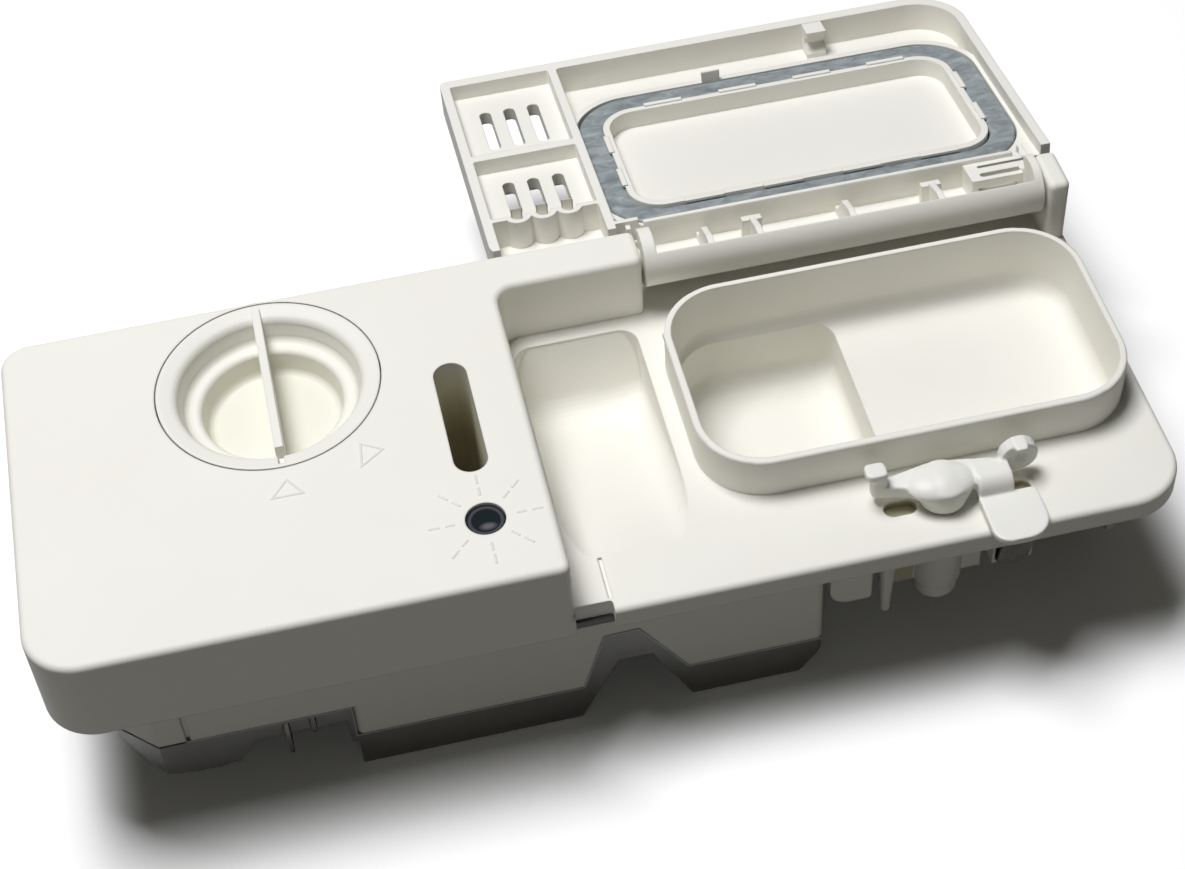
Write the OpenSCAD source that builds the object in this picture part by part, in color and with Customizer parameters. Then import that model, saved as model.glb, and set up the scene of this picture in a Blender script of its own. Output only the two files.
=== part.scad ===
/* [Front] */
// Overall length of the front, left to right
front_l = 230; // [225:1:235]
// Depth of the front, from the lower edge to the hinge edge
front_w = 86.6; // [86:0.1:90]
// Height of the raised body above the sealing plane
body_h = 21.1; // [20.5:0.1:23]
// Height of the low tray above the sealing plane
tray_h = 5.1; // [4.8:0.1:5.4]
// Length of the raised body, up to the step
body_l = 103.4; // [102.8:0.1:103.6]
// Wall thickness of the mouldings
wall = 2; // [1.8:0.1:2.2]

/* [Detergent cup] */
// Height of the cup rim above the sealing plane
rim_h = 15; // [14.5:0.1:15]
// Depth of the deep compartment floor below the sealing plane
deep_floor = 13.5; // [10:0.5:14]
// Depth of the shallow compartment floor below the sealing plane
shallow_floor = 1; // [0:0.5:2]

/* [Lid] */
// Angle the open lid has swung from closed, in degrees
open_angle = 189; // [150:1:189]
// Height of the hinge axis above the sealing plane
hinge_z = 15.5; // [15.4:0.1:15.6]
// Distance of the hinge axis from the lower edge
hinge_y = 82.9; // [82.8:0.1:83]

/* [Rinse aid cap] */
// Radius of the cap rim
cap_r = 22.9; // [22:0.1:23]
// Depth of the finger recess in the cap
cap_deep = 11.5; // [9:0.5:11.5]

/* [Back] */
// Depth of the reservoir behind the sealing plane
tank_d = 34.2; // [32:0.1:36]
// Depth of the white box behind the sealing plane
box_d = 24; // [23:0.5:25]

/* [Hidden] */
$fn = 32;
cap_x = 53.5;
cap_y = 62.2;
lens_x = 90;
lens_y = 16.1;
latch_x = 180.8;
latch_y = 11.2;
pull_y = 29.2;
pull_z = -17;
rod_z = -19.8;
box_x0 = 11;
box_y0 = 4.5;
box_y1 = 82.1;
tank_x0 = 57.7;
tank_x1 = 155;
beam_r = 6.3;
top_t = 2;
float_x = 46.9;
float_y = 14.6;
outlet_y = 9.7;
outlet_z = 9.2;
screw_x = [203, 217];
screw_y = 46;
blade_x = [44.1, 49.5];
lip_x = [150, 168, 186, 204];
scallop_x = [113.2, 118.9, 124.6];
hook_rib_x = [161.8, 202.2];
clip_x0 = 191.1;
clip_x1 = 197.7;
sharp = [0, 0, 0, 0];
ivory = [0.93, 0.92, 0.87];
white = [0.96, 0.96, 0.95];
smoke = [0.45, 0.45, 0.42, 0.55];
steel = [0.72, 0.72, 0.74];

// Zero lies on the sealing rim, at the middle of the lower long side.
module at_frame() {
  translate([-115, -0.95, 0]) children();
}

// Plate with its own radius at each corner, front left first, anticlockwise.
module plate2(x0, y0, x1, y1, r) {
  difference() {
    translate([x0, y0]) square([x1 - x0, y1 - y0]);
    if (r[0] > 0) translate([x0, y0]) corner_cut(r[0], 0);
    if (r[1] > 0) translate([x1, y0]) corner_cut(r[1], 90);
    if (r[2] > 0) translate([x1, y1]) corner_cut(r[2], 180);
    if (r[3] > 0) translate([x0, y1]) corner_cut(r[3], 270);
  }
}

module corner_cut(r, a) {
  rotate(a) difference() {
    translate([-1, -1]) square([r + 1, r + 1]);
    translate([r, r]) circle(r, $fn = 32);
  }
}

module slab(x0, y0, x1, y1, z0, z1, r) {
  translate([0, 0, z0]) linear_extrude(z1 - z0) plate2(x0, y0, x1, y1, r);
}

// A quarter ring that rounds the top edge at one corner.
module edge_corner(x, y, z, cr, er, a) {
  translate([x, y, z]) rotate([0, 0, a])
    rotate_extrude(angle = 90, $fn = 28) translate([cr - er, 0]) intersection() {
      circle(er, $fn = 16);
      square(er);
    }
}

// A block with rounded upright corners and a rounded top edge.
module soft_block(x0, y0, x1, y1, z0, z1, r, er) {
  slab(x0, y0, x1, y1, z0, z1 - er, r);
  slab(x0 + er, y0 + er, x1 - er, y1 - er, z0, z1, [for (q = r) q - er < 0.15 ? 0 : q - er]);
  zt = z1 - er;
  edge_corner(x0 + r[0], y0 + r[0], zt, r[0], er, 180);
  edge_corner(x1 - r[1], y0 + r[1], zt, r[1], er, 270);
  edge_corner(x1 - r[2], y1 - r[2], zt, r[2], er, 0);
  edge_corner(x0 + r[3], y1 - r[3], zt, r[3], er, 90);
  edge_bar([x0 + r[0], y0 + er, zt], [x1 - r[1], y0 + er, zt], er);
  edge_bar([x0 + r[3], y1 - er, zt], [x1 - r[2], y1 - er, zt], er);
  edge_bar([x0 + er, y0 + r[0], zt], [x0 + er, y1 - r[3], zt], er);
  edge_bar([x1 - er, y0 + r[1], zt], [x1 - er, y1 - r[2], zt], er);
}

module edge_bar(a, b, er) {
  l = norm(b - a);
  turn = (b[0] - a[0] > b[1] - a[1]) ? [0, 90, 0] : [-90, 0, 0];
  translate(a) rotate(turn) cylinder(r = er, h = l, $fn = 16);
}

// The same block turned over, to cut a pocket with a rounded floor.
module soft_pocket(x0, y0, x1, y1, z0, z1, r, er) {
  translate([0, 0, z0 + z1]) mirror([0, 0, 1]) soft_block(x0, y0, x1, y1, z0, z1, r, er);
}

module slot2(x0, y0, x1, y1) {
  r = min(x1 - x0, y1 - y0) / 2;
  plate2(x0, y0, x1, y1, [r, r, r, r]);
}

// Outline seen from the front, pulled back from y0 to y1.
module across(y0, y1) {
  translate([0, y1, 0]) rotate([90, 0, 0]) linear_extrude(y1 - y0) children();
}

// Outline seen from the side (y to the right, z up), pulled from x0 to x1.
module along(x0, x1) {
  translate([x0, 0, 0]) rotate([90, 0, 90]) linear_extrude(x1 - x0) children();
}

// Points of an arc about c, from angle a0 to a1 in n steps.
function arc_points(c, r, a0, a1, n = 4) = [for (i = [0:n])
  let(a = a0 + (a1 - a0) * i / n) c + r * [cos(a), sin(a)]];

// A wire of radius w along a helix about z, drawn as one closed skin.
function helix_ring(c, er, w, s) = [for (j = [0:s - 1])
  c + w * cos(360 * j / s) * er + [0, 0, w * sin(360 * j / s)]];
module helix(r, w, h, turns, n = 12, s = 6) {
  k = round(turns * n);
  pts = [for (i = [0:k]) let(a = 360 * i / n)
    each helix_ring([r * cos(a), r * sin(a), h * i / k], [cos(a), sin(a), 0], w, s)];
  side = [for (i = [0:k - 1], j = [0:s - 1])
    [i * s + j, i * s + (j + 1) % s, (i + 1) * s + (j + 1) % s, (i + 1) * s + j]];
  ends = [[for (j = [s - 1:-1:0]) j], [for (j = [0:s - 1]) k * s + j]];
  polyhedron(pts, concat(side, ends), convexity = 6);
}

// Profile of the white box's lower edge, seen from the front.
module box_profile(top_left, top_right) {
  polygon([[tank_x0, top_left], [tank_x0, -box_d], [104.5, -box_d], [109.3, -8.2], [116.6, -8],
    [126.6, -box_d], [tank_x1, -box_d], [tank_x1, top_right], [body_l, top_right], [body_l, top_left]]);
}

module ring_box(x0, y0, x1, y1, z0, z1, r, t) {
  difference() {
    slab(x0, y0, x1, y1, z0, z1, [r, r, r, r]);
    slab(x0 + t, y0 + t, x1 - t, y1 - t, z0 - 1, z1 + 1, [r - t, r - t, r - t, r - t]);
  }
}

// Space above the pre-wash chute: a ramp with round edges and a steep back.
module chute_space(g) {
  ramp = atan2(15.4, 51);
  intersection() {
    slab(105.2 - g, 13.5 - g, 132 + g, 73.2 + g, -20, 30, [4 + g, 4 + g, 4 + g, 4 + g]);
    translate([0, 13.5, tray_h + 0.2]) rotate([-ramp, 0, 0]) translate([0, -15, -g])
      across(0, 90) plate2(105.2 - g, 0, 132 + g, 60, [5 + g, 5 + g, 0, 0]);
    along(90, 150) polygon(concat([[-5, 40], [-5, -20], [61.1, -20]],
      arc_points([62.8, -3.33], 6 + g, 253.2, 335.3, 8), [[73.4 + 1.1 * g, tray_h], [73.4 + 1.1 * g, 40]]));
  }
}

module cup_outer() {
  slab(135.6, 20.6, 226.6, 72.1, -shallow_floor - wall, rim_h - 0.6, [14, 14, 14, 14]);
  soft_block(135.6, 20.6, 226.6, 72.1, tray_h, rim_h, [14, 14, 14, 14], 0.55);
  slab(136.6, 21.6, 176.9, 71.1, -deep_floor - wall, 0, [12, 5, 5, 12]);
}

module cup_space() {
  soft_pocket(137.1, 22.1, 225.1, 70.6, -shallow_floor, rim_h + 5, [12.5, 12.5, 12.5, 12.5], 4);
  soft_pocket(138.6, 23.6, 174.6, 69.1, -deep_floor, 4, [10.5, 4, 4, 10.5], 3.8);
}

module body_shell() {
  soft_block(0, 0, body_l, front_w, 0, body_h, [11, 1.7, 1.7, 6], 1.4);
  soft_block(body_l - 6, 76.8, 135.2, front_w, 0, body_h, [1.5, 1.5, 1.5, 1.5], 1.4);
  difference() {
    slab(body_l - 1, 72.8, body_l + 4, 77.8, tray_h - 1, body_h - 1.4, sharp);
    translate([body_l + 4, 72.8, 0]) cylinder(r = 4, h = 40);
  }
  difference() {
    slab(body_l - 3, 72.8, body_l + 4, 79, body_h - 3, body_h, sharp);
    translate([body_l + 4, 72.8, 0]) cylinder(r = 5.4, h = 40);
  }
  translate([body_l + 4, 72.8, body_h - 1.4]) rotate([0, 0, 90])
    rotate_extrude(angle = 90, $fn = 28) translate([5.4, 0]) intersection() {
      circle(1.4, $fn = 16);
      translate([-1.4, 0]) square(1.4);
    }
}

module tray_shell() {
  difference() {
    soft_block(body_l - 4, 0, front_l, front_w, 0, tray_h, [1.5, 12, 4, 1.5], 1.3);
    slab(body_l, -1, 111.3, 2.8, -1, tray_h + 1, [0, 0, 0.8, 0]);
  }
  soft_block(225, 75.3, 229.6, 86.5, 0, body_h, [1.4, 1.4, 1.4, 1.4], 1.3);
}

module shell_space() {
  slab(1.9, 1.9, body_l - wall, front_w - 1.9, -1, body_h - 2.2, [9.1, 0.3, 0.3, 4.1]);
  slab(body_l - 4, 79, 133.2, 85.4, -1, body_h - 2.2, [0, 0.4, 0.4, 0]);
  difference() {
    union() {
      slab(body_l - wall - 1, 4.4, 228.1, 84.7, -1, tray_h - 2.2, [0.3, 9.6, 2.1, 0.3]);
      slab(112.8, 1.9, 228.1, 84.7, -1, tray_h - 2.2, [0.3, 10.1, 2.1, 0.3]);
    }
    slab(223.4, 73.4, 230, 87, -2, 10, sharp);
  }
}

// Plan of the shallow left part of the box, with its bevelled corners.
module box_left(g, x1) {
  polygon([[box_x0 + 8 + g * 0.4, box_y0 + g], [x1, box_y0 + g], [x1, box_y1 - g],
    [box_x0 + 8 + g * 0.4, box_y1 - g], [box_x0 + g, box_y1 - 7.4 - g * 0.4],
    [box_x0 + g, box_y0 + 7.4 + g * 0.4]]);
}

module box_walls() {
  difference() {
    translate([0, 0, -14.4]) linear_extrude(body_h + 13.4) box_left(0, tank_x0 + 2);
    translate([0, 0, -12.4]) linear_extrude(body_h + 13) box_left(wall, tank_x0 + 3);
    slab(24.5, box_y0 - 1, 25.4, box_y0 + 1, -15, -2, sharp);
  }
  intersection() {
    ring_box(tank_x0, box_y0, tank_x1, box_y1, -box_d - 1, body_h - 1, 1.5, wall);
    across(0, 90) box_profile(body_h - 1, tray_h - 1);
  }
  slab(tank_x1 - 1, box_y0, 218, box_y0 + wall, -3.6, tray_h - 1, sharp);
  slab(223.4, 16, 225.2, 70, -3.6, tray_h - 1, sharp);
  slab(tank_x1 - 1, box_y1 - wall, 222, box_y1, -3.6, tray_h - 1, sharp);
}

// Neck of the rinse aid filler: seat, ledge with two gaps, and chamber.
module neck_solid() {
  translate([cap_x, cap_y, 6]) cylinder(r = 24.3, h = 14.5, $fn = 60);
}

module neck_space() {
  translate([cap_x, cap_y, 0]) {
    translate([0, 0, 16]) cylinder(r = cap_r + 0.3, h = 10, $fn = 60);
    translate([0, 0, 5]) cylinder(r = 20.2, h = 20, $fn = 60);
    translate([0, 0, 5]) cylinder(r = 23, h = 8, $fn = 60);
    for (a = [0, 180]) rotate(a + 36) intersection() {
      translate([0, 0, 8]) cylinder(r = 22.9, h = 9, $fn = 60);
      translate([10, -6.2, 8]) cube([14, 12.4, 9]);
    }
  }
}

module lens_space() {
  translate([lens_x, lens_y, 10]) cylinder(r = 4, h = 20);
  translate([lens_x, lens_y, 10]) cylinder(r = 5.3, h = body_h - 2.2 - 10);
}

module finger_slot_solid() {
  slab(84.9, 26.8, 95, 59.8, -15, body_h - 1, [5, 5, 5, 5]);
}

module finger_slot_space() {
  translate([0, 0, -13]) linear_extrude(42) slot2(86.5, 28.4, 93.4, 58.2);
}

module latch_boss() {
  translate([latch_x, latch_y, -18]) cylinder(r = 5.2, h = 18 + tray_h - 0.5);
  slab(168.7, 9.9, 190, 11.5, -17.9, tray_h - 1, sharp);
}

module latch_bore() {
  translate([latch_x, latch_y, -30]) cylinder(r = 2.5, h = 50);
  translate([latch_x, latch_y, 3.4]) cylinder(r = 4.2, h = 6);
  translate([latch_x, latch_y, -30]) cylinder(r = 4.2, h = 24);
}

module front_housing() {
  color(ivory) at_frame() difference() {
    union() {
      difference() {
        union() {
          body_shell();
          tray_shell();
        }
        shell_space();
      }
      box_walls();
      cup_outer();
      intersection() {
        chute_space(wall);
        slab(101.5, 10, 136, 77.3, -30, tray_h - 0.5, sharp);
      }
      neck_solid();
      finger_slot_solid();
      translate([lens_x, lens_y, 12]) cylinder(r = 7, h = 8);
      latch_boss();
      // Guide post that holds the level switch.
      translate([float_x, float_y, -13]) cylinder(r = 2.8, h = 28);
      // Bearing of the dosing rod in the tank wall.
      translate([149, pull_y, rod_z]) rotate([0, 90, 0]) cylinder(r = 4.1, h = 12);
      slab(150, pull_y - 2, 160, pull_y + 2, -17.5, -14.5, sharp);
      // Lug, locating peg and posts of the coil bracket.
      across(box_y0, 12) translate([0, -13.8]) plate2(156.2, 0, 164.9, 18, [4, 0.8, 0, 0]);
      translate([168.7, 6.7, -21.3]) cylinder(r1 = 1, r2 = 2.2, h = 24.5);
      for (x = screw_x) translate([x, screw_y, -4.88]) cylinder(r = 3.2, h = 3);
      // Pads of the steel clips.
      slab(190.2, box_y0, 198.6, 9, -10.8, tray_h - 1, sharp);
      slab(190.2, 77.6, 198.6, box_y1, -10.8, tray_h - 1, sharp);
      // Outlet of the rinse aid in the step wall.
      translate([body_l - 5, outlet_y, outlet_z]) rotate([0, 90, 0]) cylinder(r = 4, h = 4.5);
    }
    // The reservoir space inside the raised body stays open to the tank, round the finger well.
    difference() {
      slab(tank_x0 + wall, box_y0 + wall, body_l - wall, box_y1 - wall, -box_d - 2, 6, sharp);
      finger_slot_solid();
    }
    slab(tank_x0 - 1, box_y0 + wall, tank_x0 + wall + 1, box_y1 - wall, -6, 12, sharp);
    chute_space(0);
    cup_space();
    neck_space();
    lens_space();
    finger_slot_space();
    latch_bore();
    slab(20, 14, 33, 74, -20, -10, [3, 3, 3, 3]);
    translate([float_x, float_y, -20]) cylinder(r = 1.7, h = 33);
    translate([140, pull_y, rod_z]) rotate([0, 90, 0]) cylinder(r = 2.3, h = 30);
    translate([148, pull_y, rod_z]) rotate([0, 90, 0]) cylinder(r = 3.5, h = 5.5);
    // Hinge bores: through the block wall and blind in the post.
    translate([130, hinge_y, hinge_z]) rotate([0, 90, 0]) cylinder(r = 2.5, h = 7);
    translate([224, hinge_y, hinge_z]) rotate([0, 90, 0]) cylinder(r = 2.5, h = 4.8);
    // Shallow pockets in the tray under the latch arms.
    translate([0, 0, 3.5]) linear_extrude(10) slot2(168.6, 8.8, 175.4, 12.6);
    translate([0, 0, 3.5]) linear_extrude(10) slot2(194.6, 7.9, 199, 11.6);
    for (x = screw_x) translate([x, screw_y, -6]) cylinder(r = 1.3, h = 4.1);
    translate([body_l - 6, outlet_y, outlet_z]) rotate([0, 90, 0]) cylinder(r = 2, h = 10);
    // Thin drip groove from the chute to the notch.
    slab(110.7, 3.4, 111.5, 13.6, tray_h - 0.5, tray_h + 1, sharp);
    // Groove of the door seal under the notch and through the foot of the hinge post.
    slab(101.3, 1.9, 112.9, 4.45, -1, 1, sharp);
    difference() {
      slab(222, 70, 228.1, 84.7, -1, 2.4, [0, 0, 2.1, 0]);
      slab(220, 69, 225.5, 82.1, -2, 3, [0, 0, 0.3, 0]);
    }
    // Slots for the steel clips.
    slab(190.8, 3, 198, 6.2, -10.2, -2.6, sharp);
    slab(190.8, 80.4, 198, 84, -10.2, -2.6, sharp);
  }
}

// Outline of the tank cover seen from the front, with walls t thinner.
module cover_profile(t) {
  polygon([[tank_x0 + t, -box_d - 0.02], [tank_x0 + t, -tank_d + t], [103.7 - t * 0.6, -tank_d + t],
    [112 - t * 0.6, -17.4 + t], [119 + t * 0.6, -17.4 + t], [127.3 + t * 0.6, -tank_d + t],
    [150 - t, -tank_d + t], [tank_x1 - t, -27.5 + t * 0.4], [tank_x1 - t, -box_d - 0.02],
    [126.6, -box_d - 0.02], [116.6, -8.02], [109.3, -8.22], [104.5, -box_d - 0.02]]);
}

// Outline of the cover's sump at the left end and the low lip beside it.
module sump_profile(t) {
  polygon([[box_x0 - 0.6 + t, -15], [box_x0 + t, -18], [14.2 + t, -20.9 + t * 0.5], [18.5 + t, -23.8 + t],
    [22 + t, -24.9 + t], [29.5, -25.2 + t], [33.6, -24.4 + t], [35.8 - t * 0.4, -22.2 + t * 0.6],
    [37.7 - t, -18.6 + t], [tank_x0 + 0.4, -18.6 + t],
    [tank_x0 + 0.4, -14.42], [24.4, -14.42], [24.4, -15]]);
}

module reservoir_cover() {
  color(smoke) at_frame() {
    difference() {
      intersection() {
        across(box_y0, box_y1) cover_profile(0);
        slab(tank_x0, box_y0, tank_x1, box_y1, -60, 0, [0, 1.5, 1.5, 0]);
      }
      across(box_y0 + 1.6, box_y1 - 1.6) cover_profile(1.6);
      across(box_y0 + 1.6, box_y1 - 1.6) polygon([[tank_x0 + 1.6, -20], [tank_x0 + 1.6, -box_d - 1],
        [tank_x1 - 1.6, -box_d - 1], [tank_x1 - 1.6, -20]]);
      intersection() {
        across(box_y0 + 1.6, box_y1 - 1.6) polygon([[104, -4], [104, -box_d - 1], [110, -16], [118, -16],
          [127, -box_d - 1], [128, -4]]);
        across(0, 100) cover_profile(1.6);
      }
      // The chute's underside dips into the notch of the cover.
      slab(101.3, 10, 136, 77.4, -14.6, 5, sharp);
    }
    difference() {
      union() {
        intersection() {
          across(box_y0, box_y1) sump_profile(0);
          translate([0, 0, -30]) linear_extrude(20) box_left(-0.01, tank_x0 + 5);
        }
        // Strip that joins the lip to the deep part.
        slab(tank_x0 - 1.4, box_y0, tank_x0 + 0.8, box_y1, -26.2, -box_d - 0.1, sharp);
        slab(tank_x0 - 1.4, box_y0, tank_x0 - 0.06, box_y1, -25, -14.42, sharp);
      }
      intersection() {
        across(box_y0 + 1.5, box_y1 - 1.5) sump_profile(1.5);
        translate([0, 0, -30]) linear_extrude(20) box_left(1.5, tank_x0 - 1.4);
      }
      slab(22, box_y0 + 1.5, tank_x0 - 1.4, box_y1 - 1.5, -16, -14, sharp);
      slab(16, box_y0 + 8, 23, box_y1 - 8, -17, -14, sharp);
      slab(tank_x0 - 0.06, box_y0 - 1, tank_x0 + 3, box_y1 + 1, -box_d - 0.02, -10, sharp);
      for (x = blade_x) slab(x - 0.75, box_y0 - 1, x + 0.75, 11.8, -19, -15.3, sharp);
    }
  }
}

module sight_lens() {
  color([0.12, 0.14, 0.18]) at_frame() translate([lens_x, lens_y, 0]) {
    translate([0, 0, 17]) cylinder(r = 3.9, h = 3.5);
    translate([0, 0, 16.6]) cylinder(r = 5.2, h = 2.28);
    translate([0, 0, 6]) cylinder(r1 = 0.5, r2 = 3.7, h = 11);
  }
}

// Soft ring between the outer skirt and the box.
module door_seal() {
  color([0.35, 0.36, 0.38]) at_frame() difference() {
    slab(2.1, 2.1, 227.9, 84.5, -0.9, 2.3, [8.8, 9.9, 2, 4]);
    slab(4.3, 4.3, 225.7, 82.3, -2, 5, [6.6, 7.7, 0.5, 2]);
    slab(100.6, 0, 113.6, 20, 0.95, 5, sharp);
    slab(225, 29, 226.9, 63.7, -2, 5, sharp);
  }
}

// Bent steel clips that grip the edge of the door cut-out.
module mounting_clips() {
  color(steel) at_frame() {
    clip_profile(clip_x0, clip_x1);
    translate([0, front_w, 0]) mirror([0, 1, 0]) clip_profile(clip_x0, clip_x1);
  }
}

module clip_profile(x0, x1) {
  along(x0, x1) polygon([[6.1, -9.3], [4.3, -9.3], [2.7, -2.2], [2.05, -2.5], [3.9, -10.1], [6.1, -10.1]]);
  along(x0, x1) polygon([[5.4, -10.1], [6.15, -10.1], [6.15, -2.8], [5.4, -2.8]]);
}

module level_switch() {
  color([0.2, 0.2, 0.22]) at_frame() {
    difference() {
      slab(41, 6.3, 52.8, 22, -16.95, -14.42, [1, 1, 1, 1]);
      for (x = blade_x) slab(x - 0.45, 4, x + 0.45, 11.3, -18, -15.4, sharp);
    }
    translate([float_x, float_y, -15]) cylinder(r = 1.6, h = 27);
  }
}

module level_switch_blades() {
  color(steel) at_frame() {
    translate([43.7, 4.8, -28]) cube([0.8, 6.3, 12.5]);
    translate([49.1, 4.8, -22.6]) cube([0.8, 6.3, 7.1]);
  }
}

module level_float() {
  color([0.85, 0.8, 0.7]) at_frame() translate([float_x, float_y, -12]) difference() {
    cylinder(r = 7.6, h = 7);
    translate([0, 0, -1]) cylinder(r = 3.1, h = 9);
  }
}

// Half section of the cap's finger recess: a dished rim and two steps with wide round edges.
module recess_profile() {
  polygon(concat([[0, 1], [22.2, 1], [22.2, 0]], arc_points([20.63, -2.31], 1.9, 103, 180),
    arc_points([16.4, -4.3], 1.7, 0, -90),
    arc_points([15.7, -7.2], 1.2, 90, 180), arc_points([12.2, 1.8 - cap_deep], 1.8, 0, -90), [[0, -cap_deep]]));
}

// Quarter-turn cap: rim, stepped finger recess, grip rib and two lugs.
module rinse_cap() {
  color(ivory) at_frame() translate([cap_x, cap_y, 0]) {
    difference() {
      union() {
        translate([0, 0, 18.45]) cylinder(r = cap_r, h = body_h - 18.45, $fn = 60);
        translate([0, 0, 12]) cylinder(r = 19.9, h = 7, $fn = 60);
        translate([0, 0, 9.9]) cylinder(r = 18.6, h = 3, $fn = 60);
        translate([0, 0, body_h - cap_deep - 2]) cylinder(r = 15.2, h = 8, $fn = 60);
        for (a = [0, 180]) rotate(a) intersection() {
          translate([0, 0, 10.1]) cylinder(r = 22.3, h = 2.5, $fn = 60);
          translate([10, -5, 10.1]) cube([14, 10, 2.5]);
        }
      }
      translate([0, 0, body_h]) rotate_extrude($fn = 60) recess_profile();
      // Small notch in the rim at the front end of the rib.
      translate([-0.6, -21.9, body_h - 2.2]) cube([1.2, 4.4, 3]);
    }
    // Grip rib: it stays inside the plug, and its top runs out to the rim.
    translate([-0.9, -17.6, body_h - cap_deep - 0.5]) cube([1.8, 36.8, cap_deep + 0.5]);
    translate([-0.9, -17.6, 18.5]) cube([1.8, 40.3, body_h - 18.5]);
  }
}

module cap_seal() {
  color([0.3, 0.3, 0.32]) at_frame() translate([cap_x, cap_y, 16.05]) difference() {
    cylinder(r = 22.7, h = 2.38, $fn = 60);
    translate([0, 0, -1]) cylinder(r = 20, h = 5, $fn = 60);
  }
}

// The lid is drawn closed and swung open about its hinge axis.
module swung() {
  translate([0, hinge_y, hinge_z]) rotate([-open_angle, 0, 0]) translate([0, -hinge_y, -hinge_z]) children();
}

module beam_outline() {
  intersection() {
    translate([hinge_y + 0.7, body_h - beam_r]) circle(beam_r, $fn = 64);
    polygon([[hinge_y + 0.7, body_h + 1], [hinge_y + 0.7, body_h - beam_r], [hinge_y - 3, 9],
      [hinge_y + 12, 3], [hinge_y + 12, body_h + 1]]);
  }
}

// Section of the rolled hinge edge: a wall bent down to its lip.
module beam_section() {
  intersection() {
    translate([hinge_y + 0.7, body_h - beam_r]) difference() {
      circle(beam_r, $fn = 64);
      circle(beam_r - top_t, $fn = 64);
    }
    polygon([[hinge_y + 0.7, body_h + 1], [hinge_y + 0.7, body_h - beam_r], [hinge_y + 8.4, 8.4],
      [hinge_y + 12, 8.4], [hinge_y + 12, body_h + 1]]);
  }
}

module lid_skin() {
  difference() {
    union() {
      difference() {
        soft_block(105, 2.7, 231.3, 77, 12.2, body_h, [1.8, 13, 1.5, 4.4], 1.3);
        slab(100, 75.8, 136, 80, 0, 30, sharp);
        slab(100, 74.8, 136, 80, 0, body_h - top_t, sharp);
        slab(224.3, 73.7, 235, 80, 0, 30, sharp);
      }
      slab(135.9, 70, 224.3, hinge_y + 0.8, body_h - top_t, body_h, sharp);
      along(135.9, 224.3) beam_section();
    }
    // Inside of the rim: main field, then the two vent fields.
    slab(132.9, 5.7, 229.2, 72, 10, body_h - top_t, [1, 10.5, 0, 0]);
    slab(132.9, 73.2, 224.3, hinge_y + 0.7, 3, body_h - top_t - 6, sharp);
    slab(136, 73.2, 224.3, 83.4, 3, body_h - top_t, sharp);
    slab(107.2, 5.7, 130.9, 36.8, 10, 15.9, [0.5, 0.5, 0.5, 0.5]);
    slab(107.2, 39.2, 130.9, 62.9, 10, 15.9, [0.5, 0.5, 0.5, 0.5]);
    slab(107.2, 64.2, 130.9, 78, 10, body_h - top_t, [0.5, 0.5, 0, 0]);
    slab(132.8, 73.2, 134.9, 78, 3, body_h - top_t, sharp);
    slab(224.2, 72, 229.2, 80, 3, body_h - top_t, sharp);
    // The wall beside the hinge clears the cup's rim as the lid swings down.
    slab(138, 71.5, 224, 72.6, 5, 15.15, sharp);
    slab(138, 71.5, 224, 73.3, 5, 13.9, sharp);
  }
}

module vent_slots() {
  for (x = [113.8, 119.5, 125.2]) {
    translate([0, 0, 5]) linear_extrude(30) slot2(x - 1.35, 13.4, x + 1.35, 30);
    translate([0, 0, 5]) linear_extrude(30) slot2(x - 1.35, 44.2, x + 1.35, 57.4);
  }
}

// Two walls that hold the soft ring, with the recessed field inside them.
module seal_channel() {
  difference() {
    slab(131, 17.1, 229.8, 73.2, 15.3, body_h - top_t + 0.2, [15, 15, 7, 15]);
    slab(132.5, 18.6, 228.3, 72, 10, body_h - top_t, [13.5, 13.5, 13.5, 13.5]);
  }
  difference() {
    slab(138.7, 24.8, 222.1, 65.8, 14.7, body_h - top_t + 0.2, [8, 8, 8, 8]);
    soft_pocket(140.3, 26.4, 220.5, 64.2, 10, body_h - top_t, [6.4, 6.4, 6.4, 6.4], 1.6);
  }
}

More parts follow.
